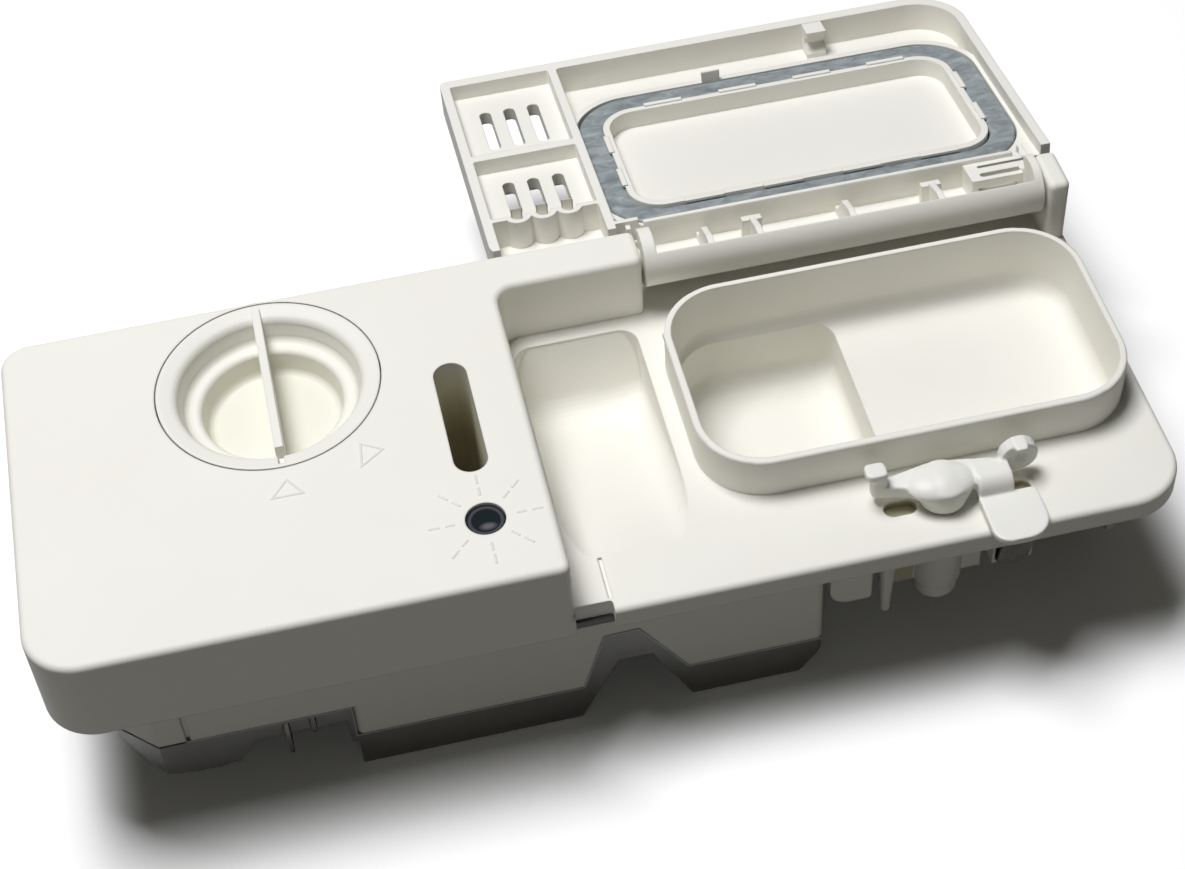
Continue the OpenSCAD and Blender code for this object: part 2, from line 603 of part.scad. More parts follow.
module lid_shell() {
  color(ivory) at_frame() swung() {
    difference() {
      union() {
        lid_skin();
        seal_channel();
        // Scalloped wall behind the lower vent slots.
        for (x = scallop_x) translate([x, 63.1, 12.2]) cylinder(r = 2.9, h = 8);
        // Ribs across the channel next to the hinge.
        for (x = [151, 161.8, 182.4, 202.2]) along(x - 0.7, x + 0.7)
          polygon([[73, 18], [76.5, 17], [79.5, 12.8], [hinge_y + 1.6, 11.6], [hinge_y + 5, 12],
            [hinge_y + 3, body_h - 1], [73, body_h - 1]]);
        for (x = hook_rib_x) slab(x - 2.2, 77.6, x + 2.2, 79.4, 13.4, body_h - 1, sharp);
        // End walls of the hinge beam.
        along(135.9, 138.7) beam_end();
        along(222.5, 224.3) beam_end();
        // Flexible tongue that lets the right trunnion snap in.
        slab(211, 73, 224.3, 81, 13.5, 15.4, [1.5, 0, 0, 1.5]);
        slab(211, 73, 212.5, 81, 13.5, body_h - 1, [0.7, 0, 0, 0.7]);
        // Block that squares off the corner of the soft ring.
        slab(226.7, 67.9, 229.8, 73.2, 15.1, body_h - 1, sharp);
        // Small stop beside the soft ring, over the left latch post.
        slab(165.5, 17.95, 169.8, 18.6, 12.6, body_h - 1, sharp);
        // Hook that the latch nose holds.
        lid_hook();
        trunnions();
        // Small lips that keep the soft ring in its channel.
        for (x = lip_x) for (y = [24.2, 65.2]) slab(x, y, x + 9, y + 1.2, 14.4, 15, sharp);
        for (x = [138.1, 221.5]) for (y = [35, 49]) slab(x, y, x + 1.2, y + 7, 14.4, 15, sharp);
      }
      vent_slots();
      for (x = scallop_x) translate([x, 63.1, 10]) cylinder(r = 1.6, h = 5.9);
      slab(108, 60.5, 130, 62.9, 10, 15.9, sharp);
      soft_pocket(109, 10, 129.6, 33.4, body_h - 2.2, body_h + 5, [3, 3, 3, 3], 1);
      soft_pocket(109, 41.2, 129.6, 60.4, body_h - 2.2, body_h + 5, [3, 3, 3, 3], 1);
      // Slits of the tongue.
      slab(213.8, 75.4, 225, 76.2, 12, 16.8, [0.4, 0, 0, 0.4]);
      slab(213.4, 78.3, 222.4, 79.7, 12, 16.8, [0.7, 0, 0, 0.7]);
    }
  }
}

module beam_end() {
  beam_outline();
  translate([hinge_y, hinge_z]) circle(3.6, $fn = 40);
  polygon([[75.2, body_h - 1], [75.2, 16], [hinge_y - 2, hinge_z - 3], [hinge_y + 2, hinge_z - 3],
    [hinge_y + 3, body_h - 1]]);
}

module lid_hook() {
  difference() {
    slab(193.5, 4, 198.3, 10.5, 12.3, body_h - 1, sharp);
    along(192, 200) polygon([[11, 13.7], [8.4, 13.7], [8.4, 16], [11, 18.6]]);
  }
}

module trunnions() {
  translate([137, hinge_y, hinge_z]) rotate([0, -90, 0]) cylinder(r = 2.42, h = 6.2);
  translate([131, hinge_y, hinge_z]) rotate([0, -90, 0]) cylinder(r = 1.4, h = 16);
  translate([223.3, hinge_y, hinge_z]) rotate([0, 90, 0]) cylinder(r = 2.42, h = 5);
}

// Grey soft ring that closes on the cup rim.
module lid_seal() {
  color([0.52, 0.57, 0.6]) at_frame() swung() difference() {
    slab(133, 18.7, 228.2, 71.9, 15.15, body_h - top_t - 0.02, [13, 13.4, 13.4, 13]);
    slab(138.6, 24.7, 222.2, 65.9, 10, 25, [8, 8, 8, 8]);
    for (x = lip_x) for (y = [24.2, 65.2]) slab(x - 0.1, y - 0.1, x + 9.1, y + 1.3, 14, 15.2, sharp);
    for (x = [138.1, 221.5]) for (y = [35, 49]) slab(x - 0.1, y - 0.1, x + 1.3, y + 7.1, 14, 15.2, sharp);
    slab(226.65, 67.85, 230, 74, 10, body_h, sharp);
  }
}

// Torsion spring hidden in the hinge block.
module lid_spring() {
  color(steel) at_frame() translate([113.5, hinge_y, hinge_z]) rotate([0, 90, 0]) helix(1.95, 0.32, 14, 9);
}

// Plan of the latch's hub and arms.
module latch_outline() {
  translate([latch_x, latch_y]) circle(5.1);
  polygon([[167.4, 12.4], [171.2, 11.6], [174.2, 10.6], [176.3, 8.8], [181, 6.4], [184.8, 7.6], [186.6, 9.8],
    [188, 10.4], [188, 15.4], [182.8, 16.3], [178.7, 16.5], [174.3, 15.6], [169.5, 14.6], [167.4, 14.6]]);
}

// White two-armed latch with its finger tab and stem.
module latch_lever() {
  color(white) at_frame() difference() {
    union() {
      // Hub with its dome and the left arm
      translate([latch_x, latch_y, 5.6]) cylinder(r = 4.9, h = 4);
      translate([0, 0, 7.4]) linear_extrude(3.2) latch_outline();
      intersection() {
        translate([latch_x, latch_y + 0.1, 3.6]) sphere(r = 9, $fn = 48);
        translate([latch_x, latch_y, 10]) cylinder(r = 5, h = 4);
      }
      // Left post with its head
      slab(166.6, 12.3, 169.7, 15.6, 7.4, 14.4, [1.2, 0.4, 0.8, 1.2]);
      slab(165.4, 12.1, 169.8, 16, 12.6, 14.5, [1.2, 1.2, 1.2, 1.2]);
      // Right arm, its round paddle and the nose
      along(187.2, 194.5) plate2(7.2, 7, 13.9, 11.4, [0.3, 0.3, 1.2, 3]);
      translate([197.1, 12.6, 11]) rotate([-90, 0, 0]) cylinder(r = 3.9, h = 2.7);
      slab(194, 12.6, 199, 15.1, 7.6, 11, [0, 0.5, 0.5, 0]);
      slab(195.6, 11.3, 198.4, 13, 14, 14.9, [0.8, 0.8, 0, 0]);
      slab(195.6, 12.6, 198.4, 15.2, 13, 14.9, sharp);
      // Finger tab over the lower edge
      slab(187, -4.8, 199, 7.5, 6.2, 7.9, [3.4, 5.4, 1.2, 0.4]);
      // Stem through the tray
      translate([latch_x, latch_y, -22.8]) cylinder(r = 2.42, h = 30);
    }
    translate([latch_x - 5, latch_y + 1.7, -30]) cube([10, 5, 12]);
  }
}

module latch_shaft_seal() {
  color([0.2, 0.2, 0.2]) at_frame() translate([latch_x, latch_y, 4.3])
    rotate_extrude() translate([3.32, 0]) circle(r = 0.78, $fn = 24);
}

// Lever fixed on the stem behind the tray.
module cam_lever() {
  color(white) at_frame() difference() {
    union() {
      translate([latch_x, latch_y, -21.5]) cylinder(r = 4.6, h = 3.3);
      slab(latch_x - 3, latch_y, latch_x + 3, pull_y + 4.4, -21.5, -18.7, [0, 0, 3, 3]);
    }
    difference() {
      translate([latch_x, latch_y, -30]) cylinder(r = 2.44, h = 20);
      translate([latch_x - 5, latch_y + 1.75, -31]) cube([10, 5, 22]);
    }
    translate([0, 0, -30]) linear_extrude(20) slot2(latch_x - 1.6, pull_y - 2, latch_x + 1.6, pull_y + 2);
  }
}

module shaft_clip() {
  color(steel) at_frame() translate([latch_x, latch_y, -22.15]) difference() {
    cylinder(r = 4.2, h = 0.6);
    translate([0, 0, -1]) cylinder(r = 2.44, h = 4);
    for (a = [30, 150, 270]) rotate(a) translate([2, -0.6, -1]) cube([1.4, 1.2, 4]);
  }
}

// Return spring inside the boss, round the latch stem.
module latch_spring() {
  color(steel) at_frame() translate([latch_x, latch_y, -17]) helix(3.45, 0.4, 10, 8);
}

module coil_yoke() {
  color([0.62, 0.63, 0.65]) at_frame() difference() {
    union() {
      slab(195.6, 19.2, 223.6, 39.2, -6.3, -4.9, sharp);
      slab(198.5, 39, 221.5, 50, -6.3, -4.9, [0, 0, 2, 2]);
      slab(195.6, 19.2, 197, 39.2, -28, -5, sharp);
      slab(222.2, 19.2, 223.6, 39.2, -28, -5, sharp);
      translate([218.9, pull_y, pull_z]) rotate([0, 90, 0]) cylinder(r = 4, h = 4);
    }
    translate([190, pull_y, pull_z]) rotate([0, 90, 0]) cylinder(r = 4.5, h = 10);
    for (x = screw_x) translate([x, screw_y, -10]) cylinder(r = 1.7, h = 10);
  }
}

module coil_bobbin() {
  color([0.16, 0.16, 0.17]) at_frame() translate([0, pull_y, pull_z]) rotate([0, 90, 0]) difference() {
    union() {
      translate([0, 0, 197.05]) cylinder(r = 9.8, h = 1.5);
      translate([0, 0, 220.6]) cylinder(r = 9.8, h = 1.5);
      translate([0, 0, 197.05]) cylinder(r = 5.4, h = 25);
      for (y = [-5, 5]) translate([8.4, y - 2, 197.05]) cube([6, 4, 1.5]);
    }
    translate([0, 0, 190]) cylinder(r = 4.3, h = 40);
    for (y = [-5, 5]) translate([9.8, y - 1.45, 197.4]) cube([8, 2.9, 0.85]);
  }
}

module coil_winding() {
  color([0.6, 0.32, 0.16]) at_frame() translate([198.6, pull_y, pull_z]) rotate([0, 90, 0]) difference() {
    cylinder(r = 9.3, h = 21.95);
    translate([0, 0, -1]) cylinder(r = 5.42, h = 30);
  }
}

module coil_blades() {
  color(steel) at_frame() for (y = [-5, 5]) translate([197.45, pull_y + y - 1.4, -33]) cube([0.75, 2.8, 6]);
}

module yoke_screws() {
  color(steel) at_frame() for (x = screw_x) translate([x, screw_y, 0]) {
    translate([0, 0, -8.2]) cylinder(r = 3, h = 1.88);
    translate([0, 0, -7]) cylinder(r = 1.28, h = 5);
  }
}

module armature() {
  color([0.66, 0.67, 0.69]) at_frame() translate([190.5, pull_y, pull_z]) rotate([0, 90, 0])
    cylinder(r = 4.15, h = 24.5);
}

// Plastic link: a collar on the armature and a pin in the lever's slot.
module armature_rod() {
  color(white) at_frame() {
    difference() {
      translate([186.5, pull_y, pull_z]) rotate([0, 90, 0]) cylinder(r = 5.6, h = 3.95);
      slab(180, 20, 195, 40, -14.5, -5, sharp);
    }
    slab(179.3, pull_y - 2.6, 187, pull_y + 2.6, -18.6, -16.2, [1, 0, 0, 1]);
    translate([latch_x, pull_y, -22.6]) cylinder(r = 1.3, h = 5);
  }
}

module armature_spring() {
  color(steel) at_frame() translate([190.9, pull_y, pull_z]) rotate([0, 90, 0]) helix(4.85, 0.36, 4.1, 4);
}

// Rod that opens the dosing outlet inside the tank.
module dosing_rod() {
  color(white) at_frame() {
    translate([141, pull_y, rod_z]) rotate([0, 90, 0]) cylinder(r = 2.22, h = 36.4);
    translate([141, pull_y, rod_z]) rotate([0, 90, 0]) cylinder(r = 3.4, h = 1.6);
    translate([164.5, pull_y, rod_z]) rotate([0, 90, 0]) cylinder(r = 3.4, h = 1.2);
  }
}

module dosing_seal() {
  color([0.2, 0.2, 0.2]) at_frame() translate([151, pull_y, rod_z]) rotate([0, 90, 0])
    rotate_extrude() translate([2.86, 0]) circle(r = 0.6, $fn = 24);
}

module dosing_spring() {
  color(steel) at_frame() translate([161.4, pull_y, rod_z]) rotate([0, 90, 0]) helix(2.95, 0.28, 2.7, 3);
}

// Rubber duckbill that lets the rinse aid out of the step wall.
module outlet_valve() {
  color([0.25, 0.25, 0.27]) at_frame() difference() {
    union() {
      translate([body_l - 5.2, outlet_y, outlet_z]) rotate([0, 90, 0]) cylinder(r = 1.95, h = 5);
      translate([body_l - 6.6, outlet_y, outlet_z]) rotate([0, 90, 0]) cylinder(r = 2.8, h = 1.58);
    }
    translate([body_l - 8, outlet_y, outlet_z]) rotate([0, 90, 0]) cylinder(r = 0.9, h = 10);
  }
}

front_housing();
reservoir_cover();
sight_lens();
door_seal();
mounting_clips();
level_switch();
level_switch_blades();
level_float();
rinse_cap();
cap_seal();
lid_shell();
lid_seal();
lid_spring();
latch_lever();
latch_shaft_seal();
cam_lever();
shaft_clip();
latch_spring();
coil_yoke();
coil_bobbin();
coil_winding();
coil_blades();
yoke_screws();
armature();
armature_rod();
armature_spring();
dosing_rod();
dosing_seal();
dosing_spring();
outlet_valve();
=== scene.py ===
import math

import bmesh
import bpy
from mathutils import Matrix, Vector


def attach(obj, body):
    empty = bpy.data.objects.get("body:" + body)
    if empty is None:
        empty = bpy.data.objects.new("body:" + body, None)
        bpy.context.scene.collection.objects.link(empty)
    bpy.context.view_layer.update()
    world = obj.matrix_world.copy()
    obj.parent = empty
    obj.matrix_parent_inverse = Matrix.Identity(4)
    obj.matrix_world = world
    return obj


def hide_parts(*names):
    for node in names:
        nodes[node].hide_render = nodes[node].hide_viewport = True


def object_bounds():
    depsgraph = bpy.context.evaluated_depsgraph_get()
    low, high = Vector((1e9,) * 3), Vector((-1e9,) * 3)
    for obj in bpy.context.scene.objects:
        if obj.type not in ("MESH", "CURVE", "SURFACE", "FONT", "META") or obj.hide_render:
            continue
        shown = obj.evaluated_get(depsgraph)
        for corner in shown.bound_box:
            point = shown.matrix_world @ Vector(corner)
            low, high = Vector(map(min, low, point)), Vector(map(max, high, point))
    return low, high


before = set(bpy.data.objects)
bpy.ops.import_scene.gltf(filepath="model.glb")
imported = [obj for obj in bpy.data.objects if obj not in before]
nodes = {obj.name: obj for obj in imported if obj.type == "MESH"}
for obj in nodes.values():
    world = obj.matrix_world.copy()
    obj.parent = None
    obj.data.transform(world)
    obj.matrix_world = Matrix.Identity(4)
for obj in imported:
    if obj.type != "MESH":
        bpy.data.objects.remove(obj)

cad_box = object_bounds()


# Front housing. One ivory polypropylene moulding: the raised body with the filler
# neck, the low tray with the chute and the detergent cup, and the box walls behind.
# Satin from the mould, with soft edges and shallow raised marks on the body.
MM = 0.001


def at(x, y, z):
    """A point given in millimetres from the front left corner of the sealing rim."""
    return Vector(((x - 115.0) * MM, (y - 0.95) * MM, z * MM))


def add(tree, kind, inputs=None, **properties):
    """A new node with its properties set and its inputs given values or links."""
    node = tree.nodes.new(kind)
    for name, value in properties.items():
        setattr(node, name, value)
    for name, value in (inputs or {}).items():
        socket = node.inputs[name]
        if isinstance(value, bpy.types.NodeSocket):
            tree.links.new(value, socket)
        else:
            socket.default_value = value
    return node


def maths(tree, operation, *values, **properties):
    """The result of a Math node for numbers or links."""
    return add(tree, "ShaderNodeMath", dict(enumerate(values)), operation=operation, **properties).outputs[0]


def vector_maths(tree, operation, *values):
    """The result of a Vector Math node, which is a number for a length."""
    node = add(tree, "ShaderNodeVectorMath", dict(enumerate(values)), operation=operation)
    return node.outputs["Value" if operation == "LENGTH" else "Vector"]


def linked(name, data):
    """A new object in the scene for a mesh, a curve, a lamp or a camera."""
    thing = bpy.data.objects.new(name, data)
    bpy.context.scene.collection.objects.link(thing)
    return thing


def new_material(name):
    """A material with an empty node tree, and the tree."""
    material = bpy.data.materials.new(name)
    material.use_nodes = True
    material.node_tree.nodes.clear()
    return material, material.node_tree


def shader_group(name, inputs, outputs):
    """An empty shader group with its sockets, its input node and its output node."""
    tree = bpy.data.node_groups.new(name, "ShaderNodeTree")
    for label, kind, value in inputs:
        socket = tree.interface.new_socket(label, in_out="INPUT", socket_type=kind)
        socket.default_value = value
    for label, kind in outputs:
        tree.interface.new_socket(label, in_out="OUTPUT", socket_type=kind)
    return tree, add(tree, "NodeGroupInput").outputs, add(tree, "NodeGroupOutput").inputs


COLOUR, NUMBER = "NodeSocketColor", "NodeSocketFloat"

# Moulded surface: faint flow clouds in the colour, and a fine grain from the mould.
moulded_surface, given, result = shader_group(
    "moulded surface",
    [("Base", COLOUR, (0.8, 0.8, 0.8, 1)), ("Cloud", COLOUR, (0.7, 0.7, 0.7, 1)),
     ("Cloud Scale", NUMBER, 30.0), ("Grain Scale", NUMBER, 3000.0),
     ("Roughness", NUMBER, 0.4), ("Spread", NUMBER, 0.06)],
    [("Colour", COLOUR), ("Roughness", NUMBER), ("Height", NUMBER)])
where = add(moulded_surface, "ShaderNodeTexCoord").outputs["Object"]
cloud = add(moulded_surface, "ShaderNodeTexNoise",
            {"Vector": where, "Scale": given["Cloud Scale"], "Detail": 3.0, "Roughness": 0.55})
grain = add(moulded_surface, "ShaderNodeTexNoise",
            {"Vector": where, "Scale": given["Grain Scale"], "Detail": 2.0, "Roughness": 0.6})
specks = add(moulded_surface, "ShaderNodeMapRange",
             {"Value": grain.outputs["Fac"], "From Min": 0.35, "From Max": 0.65,
              "To Min": -0.5, "To Max": 0.5})
clouding = add(moulded_surface, "ShaderNodeMapRange",
               {"Value": cloud.outputs["Fac"], "From Min": 0.35, "From Max": 0.68})
tint = add(moulded_surface, "ShaderNodeMix",
           {"Factor": clouding.outputs["Result"], "A": given["Base"], "B": given["Cloud"]}, data_type="RGBA")
lift = maths(moulded_surface, "MULTIPLY_ADD", specks.outputs["Result"], given["Spread"], given["Roughness"])
moulded_surface.links.new(tint.outputs["Result"], result["Colour"])
moulded_surface.links.new(lift, result["Roughness"])
moulded_surface.links.new(grain.outputs["Fac"], result["Height"])


def moulded(name, base, cloud, roughness, grain_scale=3000.0, cloud_scale=30.0, spread=0.08,
            relief=0.00002, edge=0.0004, ior=1.49, gloss=0.5, **shader):
    """Moulded plastic or rubber; edge is how far its sharp edges are rounded."""
    material, tree = new_material(name)
    surface = add(tree, "ShaderNodeGroup",
                  {"Base": (*base, 1), "Cloud": (*cloud, 1), "Cloud Scale": cloud_scale,
                   "Grain Scale": grain_scale, "Roughness": roughness, "Spread": spread},
                  node_tree=moulded_surface)
    rounded = add(tree, "ShaderNodeBevel", {"Radius": edge}, samples=4)
    bump = add(tree, "ShaderNodeBump",
               {"Strength": 0.5, "Distance": relief, "Height": surface.outputs["Height"],
                "Normal": rounded.outputs["Normal"]})
    plastic = add(tree, "ShaderNodeBsdfPrincipled",
                  {"Base Color": surface.outputs["Colour"], "Roughness": surface.outputs["Roughness"],
                   "Normal": bump.outputs["Normal"], "IOR": ior, **{"Specular IOR Level": gloss}, **shader})
    add(tree, "ShaderNodeOutputMaterial", {"Surface": plastic.outputs["BSDF"]})
    return material


def dress(node, material):
    """Gives a CAD node its material."""
    mesh = nodes[node].data
    if not mesh.materials:
        mesh.materials.append(material)
    for index in range(len(mesh.materials)):
        mesh.materials[index] = material
    for slot in nodes[node].material_slots:
        slot.material = material


def piece(name, mesh, material, body, slot, *instead_of):
    """Shows a finished mesh as a piece that rides on a body."""
    shown = linked(name, mesh)
    mesh.materials.clear()
    mesh.materials.append(material)
    mesh.shade_smooth()
    mesh.set_sharp_from_angle(angle=math.radians(35))
    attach(shown, body)
    if instead_of:
        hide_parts(*instead_of)
    return shown


def ridge(bm, path, foot, crown, z0, z1, closed=False):
    """A low raised line along a path of (x, y) points, with mitred corners."""
    count = len(path)
    rows = []
    for i, here in enumerate(path):
        before = path[i - 1] if closed or i else None
        after = path[(i + 1) % count] if closed or i < count - 1 else None
        sides = [Vector(b) - Vector(a) for a, b in ((before, here), (here, after)) if a and b]
        sides = [side.normalized() for side in sides]
        across = sum((Vector((-side.y, side.x)) for side in sides), Vector((0, 0))).normalized()
        reach = 1 / max(0.35, across.dot(Vector((-sides[0].y, sides[0].x))))
        rows.append([bm.verts.new(at(here[0] + across.x * w * reach, here[1] + across.y * w * reach, z))
                     for w, z in ((-foot, z0), (-crown, z1), (crown, z1), (foot, z0))])
    for i in range(count if closed else count - 1):
        a, b = rows[i], rows[(i + 1) % count]
        for j in range(4):
            bm.faces.new((a[j], a[(j + 1) % 4], b[(j + 1) % 4], b[j]))
    if not closed:
        bm.faces.new(rows[0][::-1])
        bm.faces.new(rows[-1])


def made(bm, name):
    """The mesh of a finished bmesh, with doubles merged and faces outward."""
    bmesh.ops.remove_doubles(bm, verts=bm.verts, dist=1e-7)
    bmesh.ops.recalc_face_normals(bm, faces=bm.faces)
    mesh = bpy.data.meshes.new(name)
    bm.to_mesh(mesh)
    bm.free()
    return mesh


ivory = moulded("ivory plastic", (0.87, 0.86, 0.785), (0.855, 0.843, 0.765), 0.56, edge=0.0006, gloss=0.3)

# Painted shade inside a deep narrow opening: 1 within a box about a centre, fading at its top.
painted_shade_group, given, result = shader_group(
    "painted shade in a well",
    [("Centre", "NodeSocketVector", (0, 0, 0)), ("Half Size", "NodeSocketVector", (0.01, 0.01, 0.01)),
     ("Softness", NUMBER, 0.004)],
    [("Inside", NUMBER)])
where = add(painted_shade_group, "ShaderNodeTexCoord").outputs["Object"]
offset = vector_maths(painted_shade_group, "ABSOLUTE", vector_maths(painted_shade_group, "SUBTRACT", where, given["Centre"]))
past = vector_maths(painted_shade_group, "SUBTRACT", offset, given["Half Size"])
past = add(painted_shade_group, "ShaderNodeSeparateXYZ", {0: past}).outputs
within = maths(painted_shade_group, "LESS_THAN", maths(painted_shade_group, "MAXIMUM", past["X"], past["Y"]), 0.0)
sunk = maths(painted_shade_group, "DIVIDE", past["Z"], given["Softness"])
sunk = maths(painted_shade_group, "MULTIPLY", sunk, -1.0, use_clamp=True)
painted_shade_group.links.new(maths(painted_shade_group, "MULTIPLY", within, sunk), result["Inside"])


def paint_shade_in_well(material, low, high, softness, shade):
    """Paints shade into a material inside a box between two corners, in millimetres."""
    tree = material.node_tree
    plastic = next(node for node in tree.nodes if node.type == "BSDF_PRINCIPLED")
    plain = plastic.inputs["Base Color"].links[0].from_socket
    low, high = at(*low), at(*high)
    inside = add(tree, "ShaderNodeGroup",
                 {"Centre": (low + high) / 2, "Half Size": (high - low) / 2, "Softness": softness * MM},
                 node_tree=painted_shade_group)
    shaded = add(tree, "ShaderNodeMix",
                 {"Factor": inside.outputs["Inside"], "A": plain, "B": (*shade, 1)}, data_type="RGBA")
    tree.links.new(shaded.outputs["Result"], plastic.inputs["Base Color"])


# Painted shade: the finger well darkens twice on its way down, and the two pockets under the latch once.
paint_shade_in_well(ivory, (86.2, 28.0, -60.0), (93.7, 58.6, 20.4), 12.0, (0.82, 0.79, 0.60))
paint_shade_in_well(ivory, (86.2, 28.0, -60.0), (93.7, 58.6, 14.0), 14.0, (0.52, 0.48, 0.36))
paint_shade_in_well(ivory, (168.5, 8.7, -20.0), (175.5, 12.7, 4.9), 0.4, (0.50, 0.47, 0.33))
paint_shade_in_well(ivory, (194.5, 7.8, -20.0), (199.1, 11.7, 4.9), 0.4, (0.50, 0.47, 0.33))
dress("front_housing", ivory)

# Two triangles beside the cap and one short rib on the end of the cup, in a greyer ivory that is painted
# shade along the raised lines.
BODY_TOP = 21.1
MARK_FOOT, MARK_CROWN = 0.32, 0.1
MARK_LOW, MARK_HIGH = BODY_TOP - 0.03, BODY_TOP + 0.14
marks_ivory_painted_shade = moulded("ivory of the marks, painted grey for shade", (0.80, 0.79, 0.72), (0.78, 0.77, 0.70), 0.56, edge=0.0, gloss=0.3)
marks = bmesh.new()
for corners in ([(50.5, 31.6), (56.6, 31.6), (53.8, 35.7)], [(68.8, 35.4), (73.5, 38.7), (69.4, 41.2)]):
    ridge(marks, corners, MARK_FOOT, MARK_CROWN, MARK_LOW, MARK_HIGH, closed=True)
ridge(marks, [(135.85, 59.2), (135.85, 61.0)], 0.35, 0.2, 14.0, 14.8)
piece("cap_marks", made(marks, "cap_marks"), marks_ivory_painted_shade, "housing", "ivory")


def geometry_tree(name, inputs):
    """An empty geometry tree with named inputs, its input sockets and its output node."""
    tree = bpy.data.node_groups.new(name, "GeometryNodeTree")
    for label, kind, value in inputs:
        socket = tree.interface.new_socket(label, in_out="INPUT", socket_type=kind)
        if value is not None:
            socket.default_value = value
    tree.interface.new_socket("Geometry", in_out="OUTPUT", socket_type="NodeSocketGeometry")
    return tree, add(tree, "NodeGroupInput").outputs


def close_tree(tree, geometry, material):
    """Ends a tree in real geometry with its material."""
    real = add(tree, "GeometryNodeRealizeInstances", {"Geometry": geometry})
    painted = add(tree, "GeometryNodeSetMaterial",
                  {"Geometry": real.outputs["Geometry"], "Material": material})
    add(tree, "NodeGroupOutput", {"Geometry": painted.outputs["Geometry"]})


def grown(tree, name, values):
    """The plain mesh that a tree makes from values for its named inputs."""
    seed = linked(name, bpy.data.meshes.new(name))
    modifier = seed.modifiers.new("grow", "NODES")
    modifier.node_group = tree
    sockets = {item.name: item.identifier for item in tree.interface.items_tree if item.in_out == "INPUT"}
    for label, value in values.items():
        modifier[sockets[label]] = value
    bpy.context.view_layer.update()
    mesh = bpy.data.meshes.new_from_object(seed.evaluated_get(bpy.context.evaluated_depsgraph_get()))
    seed.modifiers.remove(modifier)
    bpy.data.objects.remove(seed)
    mesh.name = name
    return mesh


LENGTH, COUNT, PLACE = "NodeSocketFloat", "NodeSocketInt", "NodeSocketVector"

# Raised dashes that ring the rinse aid window, in the same greyer ivory of painted shade.
ray_ring, given = geometry_tree("ring of dashes", [
    ("Rays", COUNT, 8), ("Radius", LENGTH, 0.007), ("Dash Length", LENGTH, 0.002),
    ("Dash Width", LENGTH, 0.0005), ("Centre", PLACE, (0, 0, 0))])
circle = add(ray_ring, "GeometryNodeMeshCircle", {"Vertices": given["Rays"], "Radius": given["Radius"]})
dash = add(ray_ring, "GeometryNodeMeshCylinder",
           {"Vertices": 10, "Radius": maths(ray_ring, "MULTIPLY", given["Dash Width"], 0.5),
            "Depth": given["Dash Length"]})
outward = add(ray_ring, "FunctionNodeAlignRotationToVector",
              {"Vector": add(ray_ring, "GeometryNodeInputPosition").outputs[0]}, axis="Z")
ring = add(ray_ring, "GeometryNodeInstanceOnPoints",
           {"Points": circle.outputs["Mesh"], "Instance": dash.outputs["Mesh"],
            "Rotation": outward.outputs[0]})
moved = add(ray_ring, "GeometryNodeTransform", {"Geometry": ring.outputs[0], "Translation": given["Centre"]})
close_tree(ray_ring, moved.outputs[0], marks_ivory_painted_shade)
WINDOW_X, WINDOW_Y = 90.0, 16.1
RAY_SINK = 0.27
for name, radius, length in (("window_rays_inner", 7.0, 2.0), ("window_rays_outer", 10.15, 2.3)):
    dashes = grown(ray_ring, name, {
        "Rays": 8, "Radius": radius * MM, "Dash Length": length * MM, "Dash Width": 0.85 * MM,
        "Centre": at(WINDOW_X, WINDOW_Y, BODY_TOP - RAY_SINK)})
    piece(name, dashes, marks_ivory_painted_shade, "housing", "ivory")


# Reservoir cover. A smoky translucent moulding welded to the underside of the box;
# it closes the rinse aid tank and forms the small sump at the left end.
smoke = moulded("smoky cover", (0.25, 0.246, 0.226), (0.215, 0.21, 0.194), 0.3, cloud_scale=40.0,
                spread=0.03, relief=0.000004, ior=1.5, edge=0.0003, **{"Transmission Weight": 0.5})
dress("reservoir_cover", smoke)

# The weld flash that stands along the parting line of box and cover; its pale colour is partly the flash's
# own and partly a painted highlight along the joint.
bead_tree, given = geometry_tree("weld bead", [
    ("Bead Radius", LENGTH, 0.0003), ("Path", "NodeSocketObject", None)])
path = add(bead_tree, "GeometryNodeObjectInfo", {"Object": given["Path"]})
section = add(bead_tree, "GeometryNodeCurvePrimitiveCircle",
              {"Resolution": 8, "Radius": given["Bead Radius"]})
bead = add(bead_tree, "GeometryNodeCurveToMesh",
           {"Curve": path.outputs["Geometry"], "Profile Curve": section.outputs["Curve"], "Fill Caps": True})
pale_flash_and_highlight = moulded("weld flash", (0.52, 0.515, 0.49), (0.44, 0.435, 0.41), 0.4, cloud_scale=300.0)
close_tree(bead_tree, bead.outputs["Mesh"], pale_flash_and_highlight)


def polyline(name, points, closed=False):
    """A poly curve through points, for a tree to sweep along."""
    curve = bpy.data.curves.new(name, "CURVE")
    curve.dimensions = "3D"
    spline = curve.splines.new("POLY")
    spline.points.add(len(points) - 1)
    for vertex, point in zip(spline.points, points):
        vertex.co = (*point, 1)
    spline.use_cyclic_u = closed
    return linked(name, curve)


PARTING = [(24.6, -14.62), (57.5, -14.62), (57.5, -24.3), (104.6, -24.3), (109.5, -8.5), (116.4, -8.3),
           (126.4, -24.3), (154.8, -24.3)]
for side, y in (("front", 4.55), ("rear", 82.05)):
    guide = polyline("weld_path_" + side, [at(x, y, z) for x, z in PARTING])
    flash = grown(bead_tree, "weld_flash_" + side, {"Bead Radius": 0.28 * MM, "Path": guide})
    bpy.data.objects.remove(guide)
    piece("weld_flash_" + side, flash, pale_flash_and_highlight, "housing", "smoke")
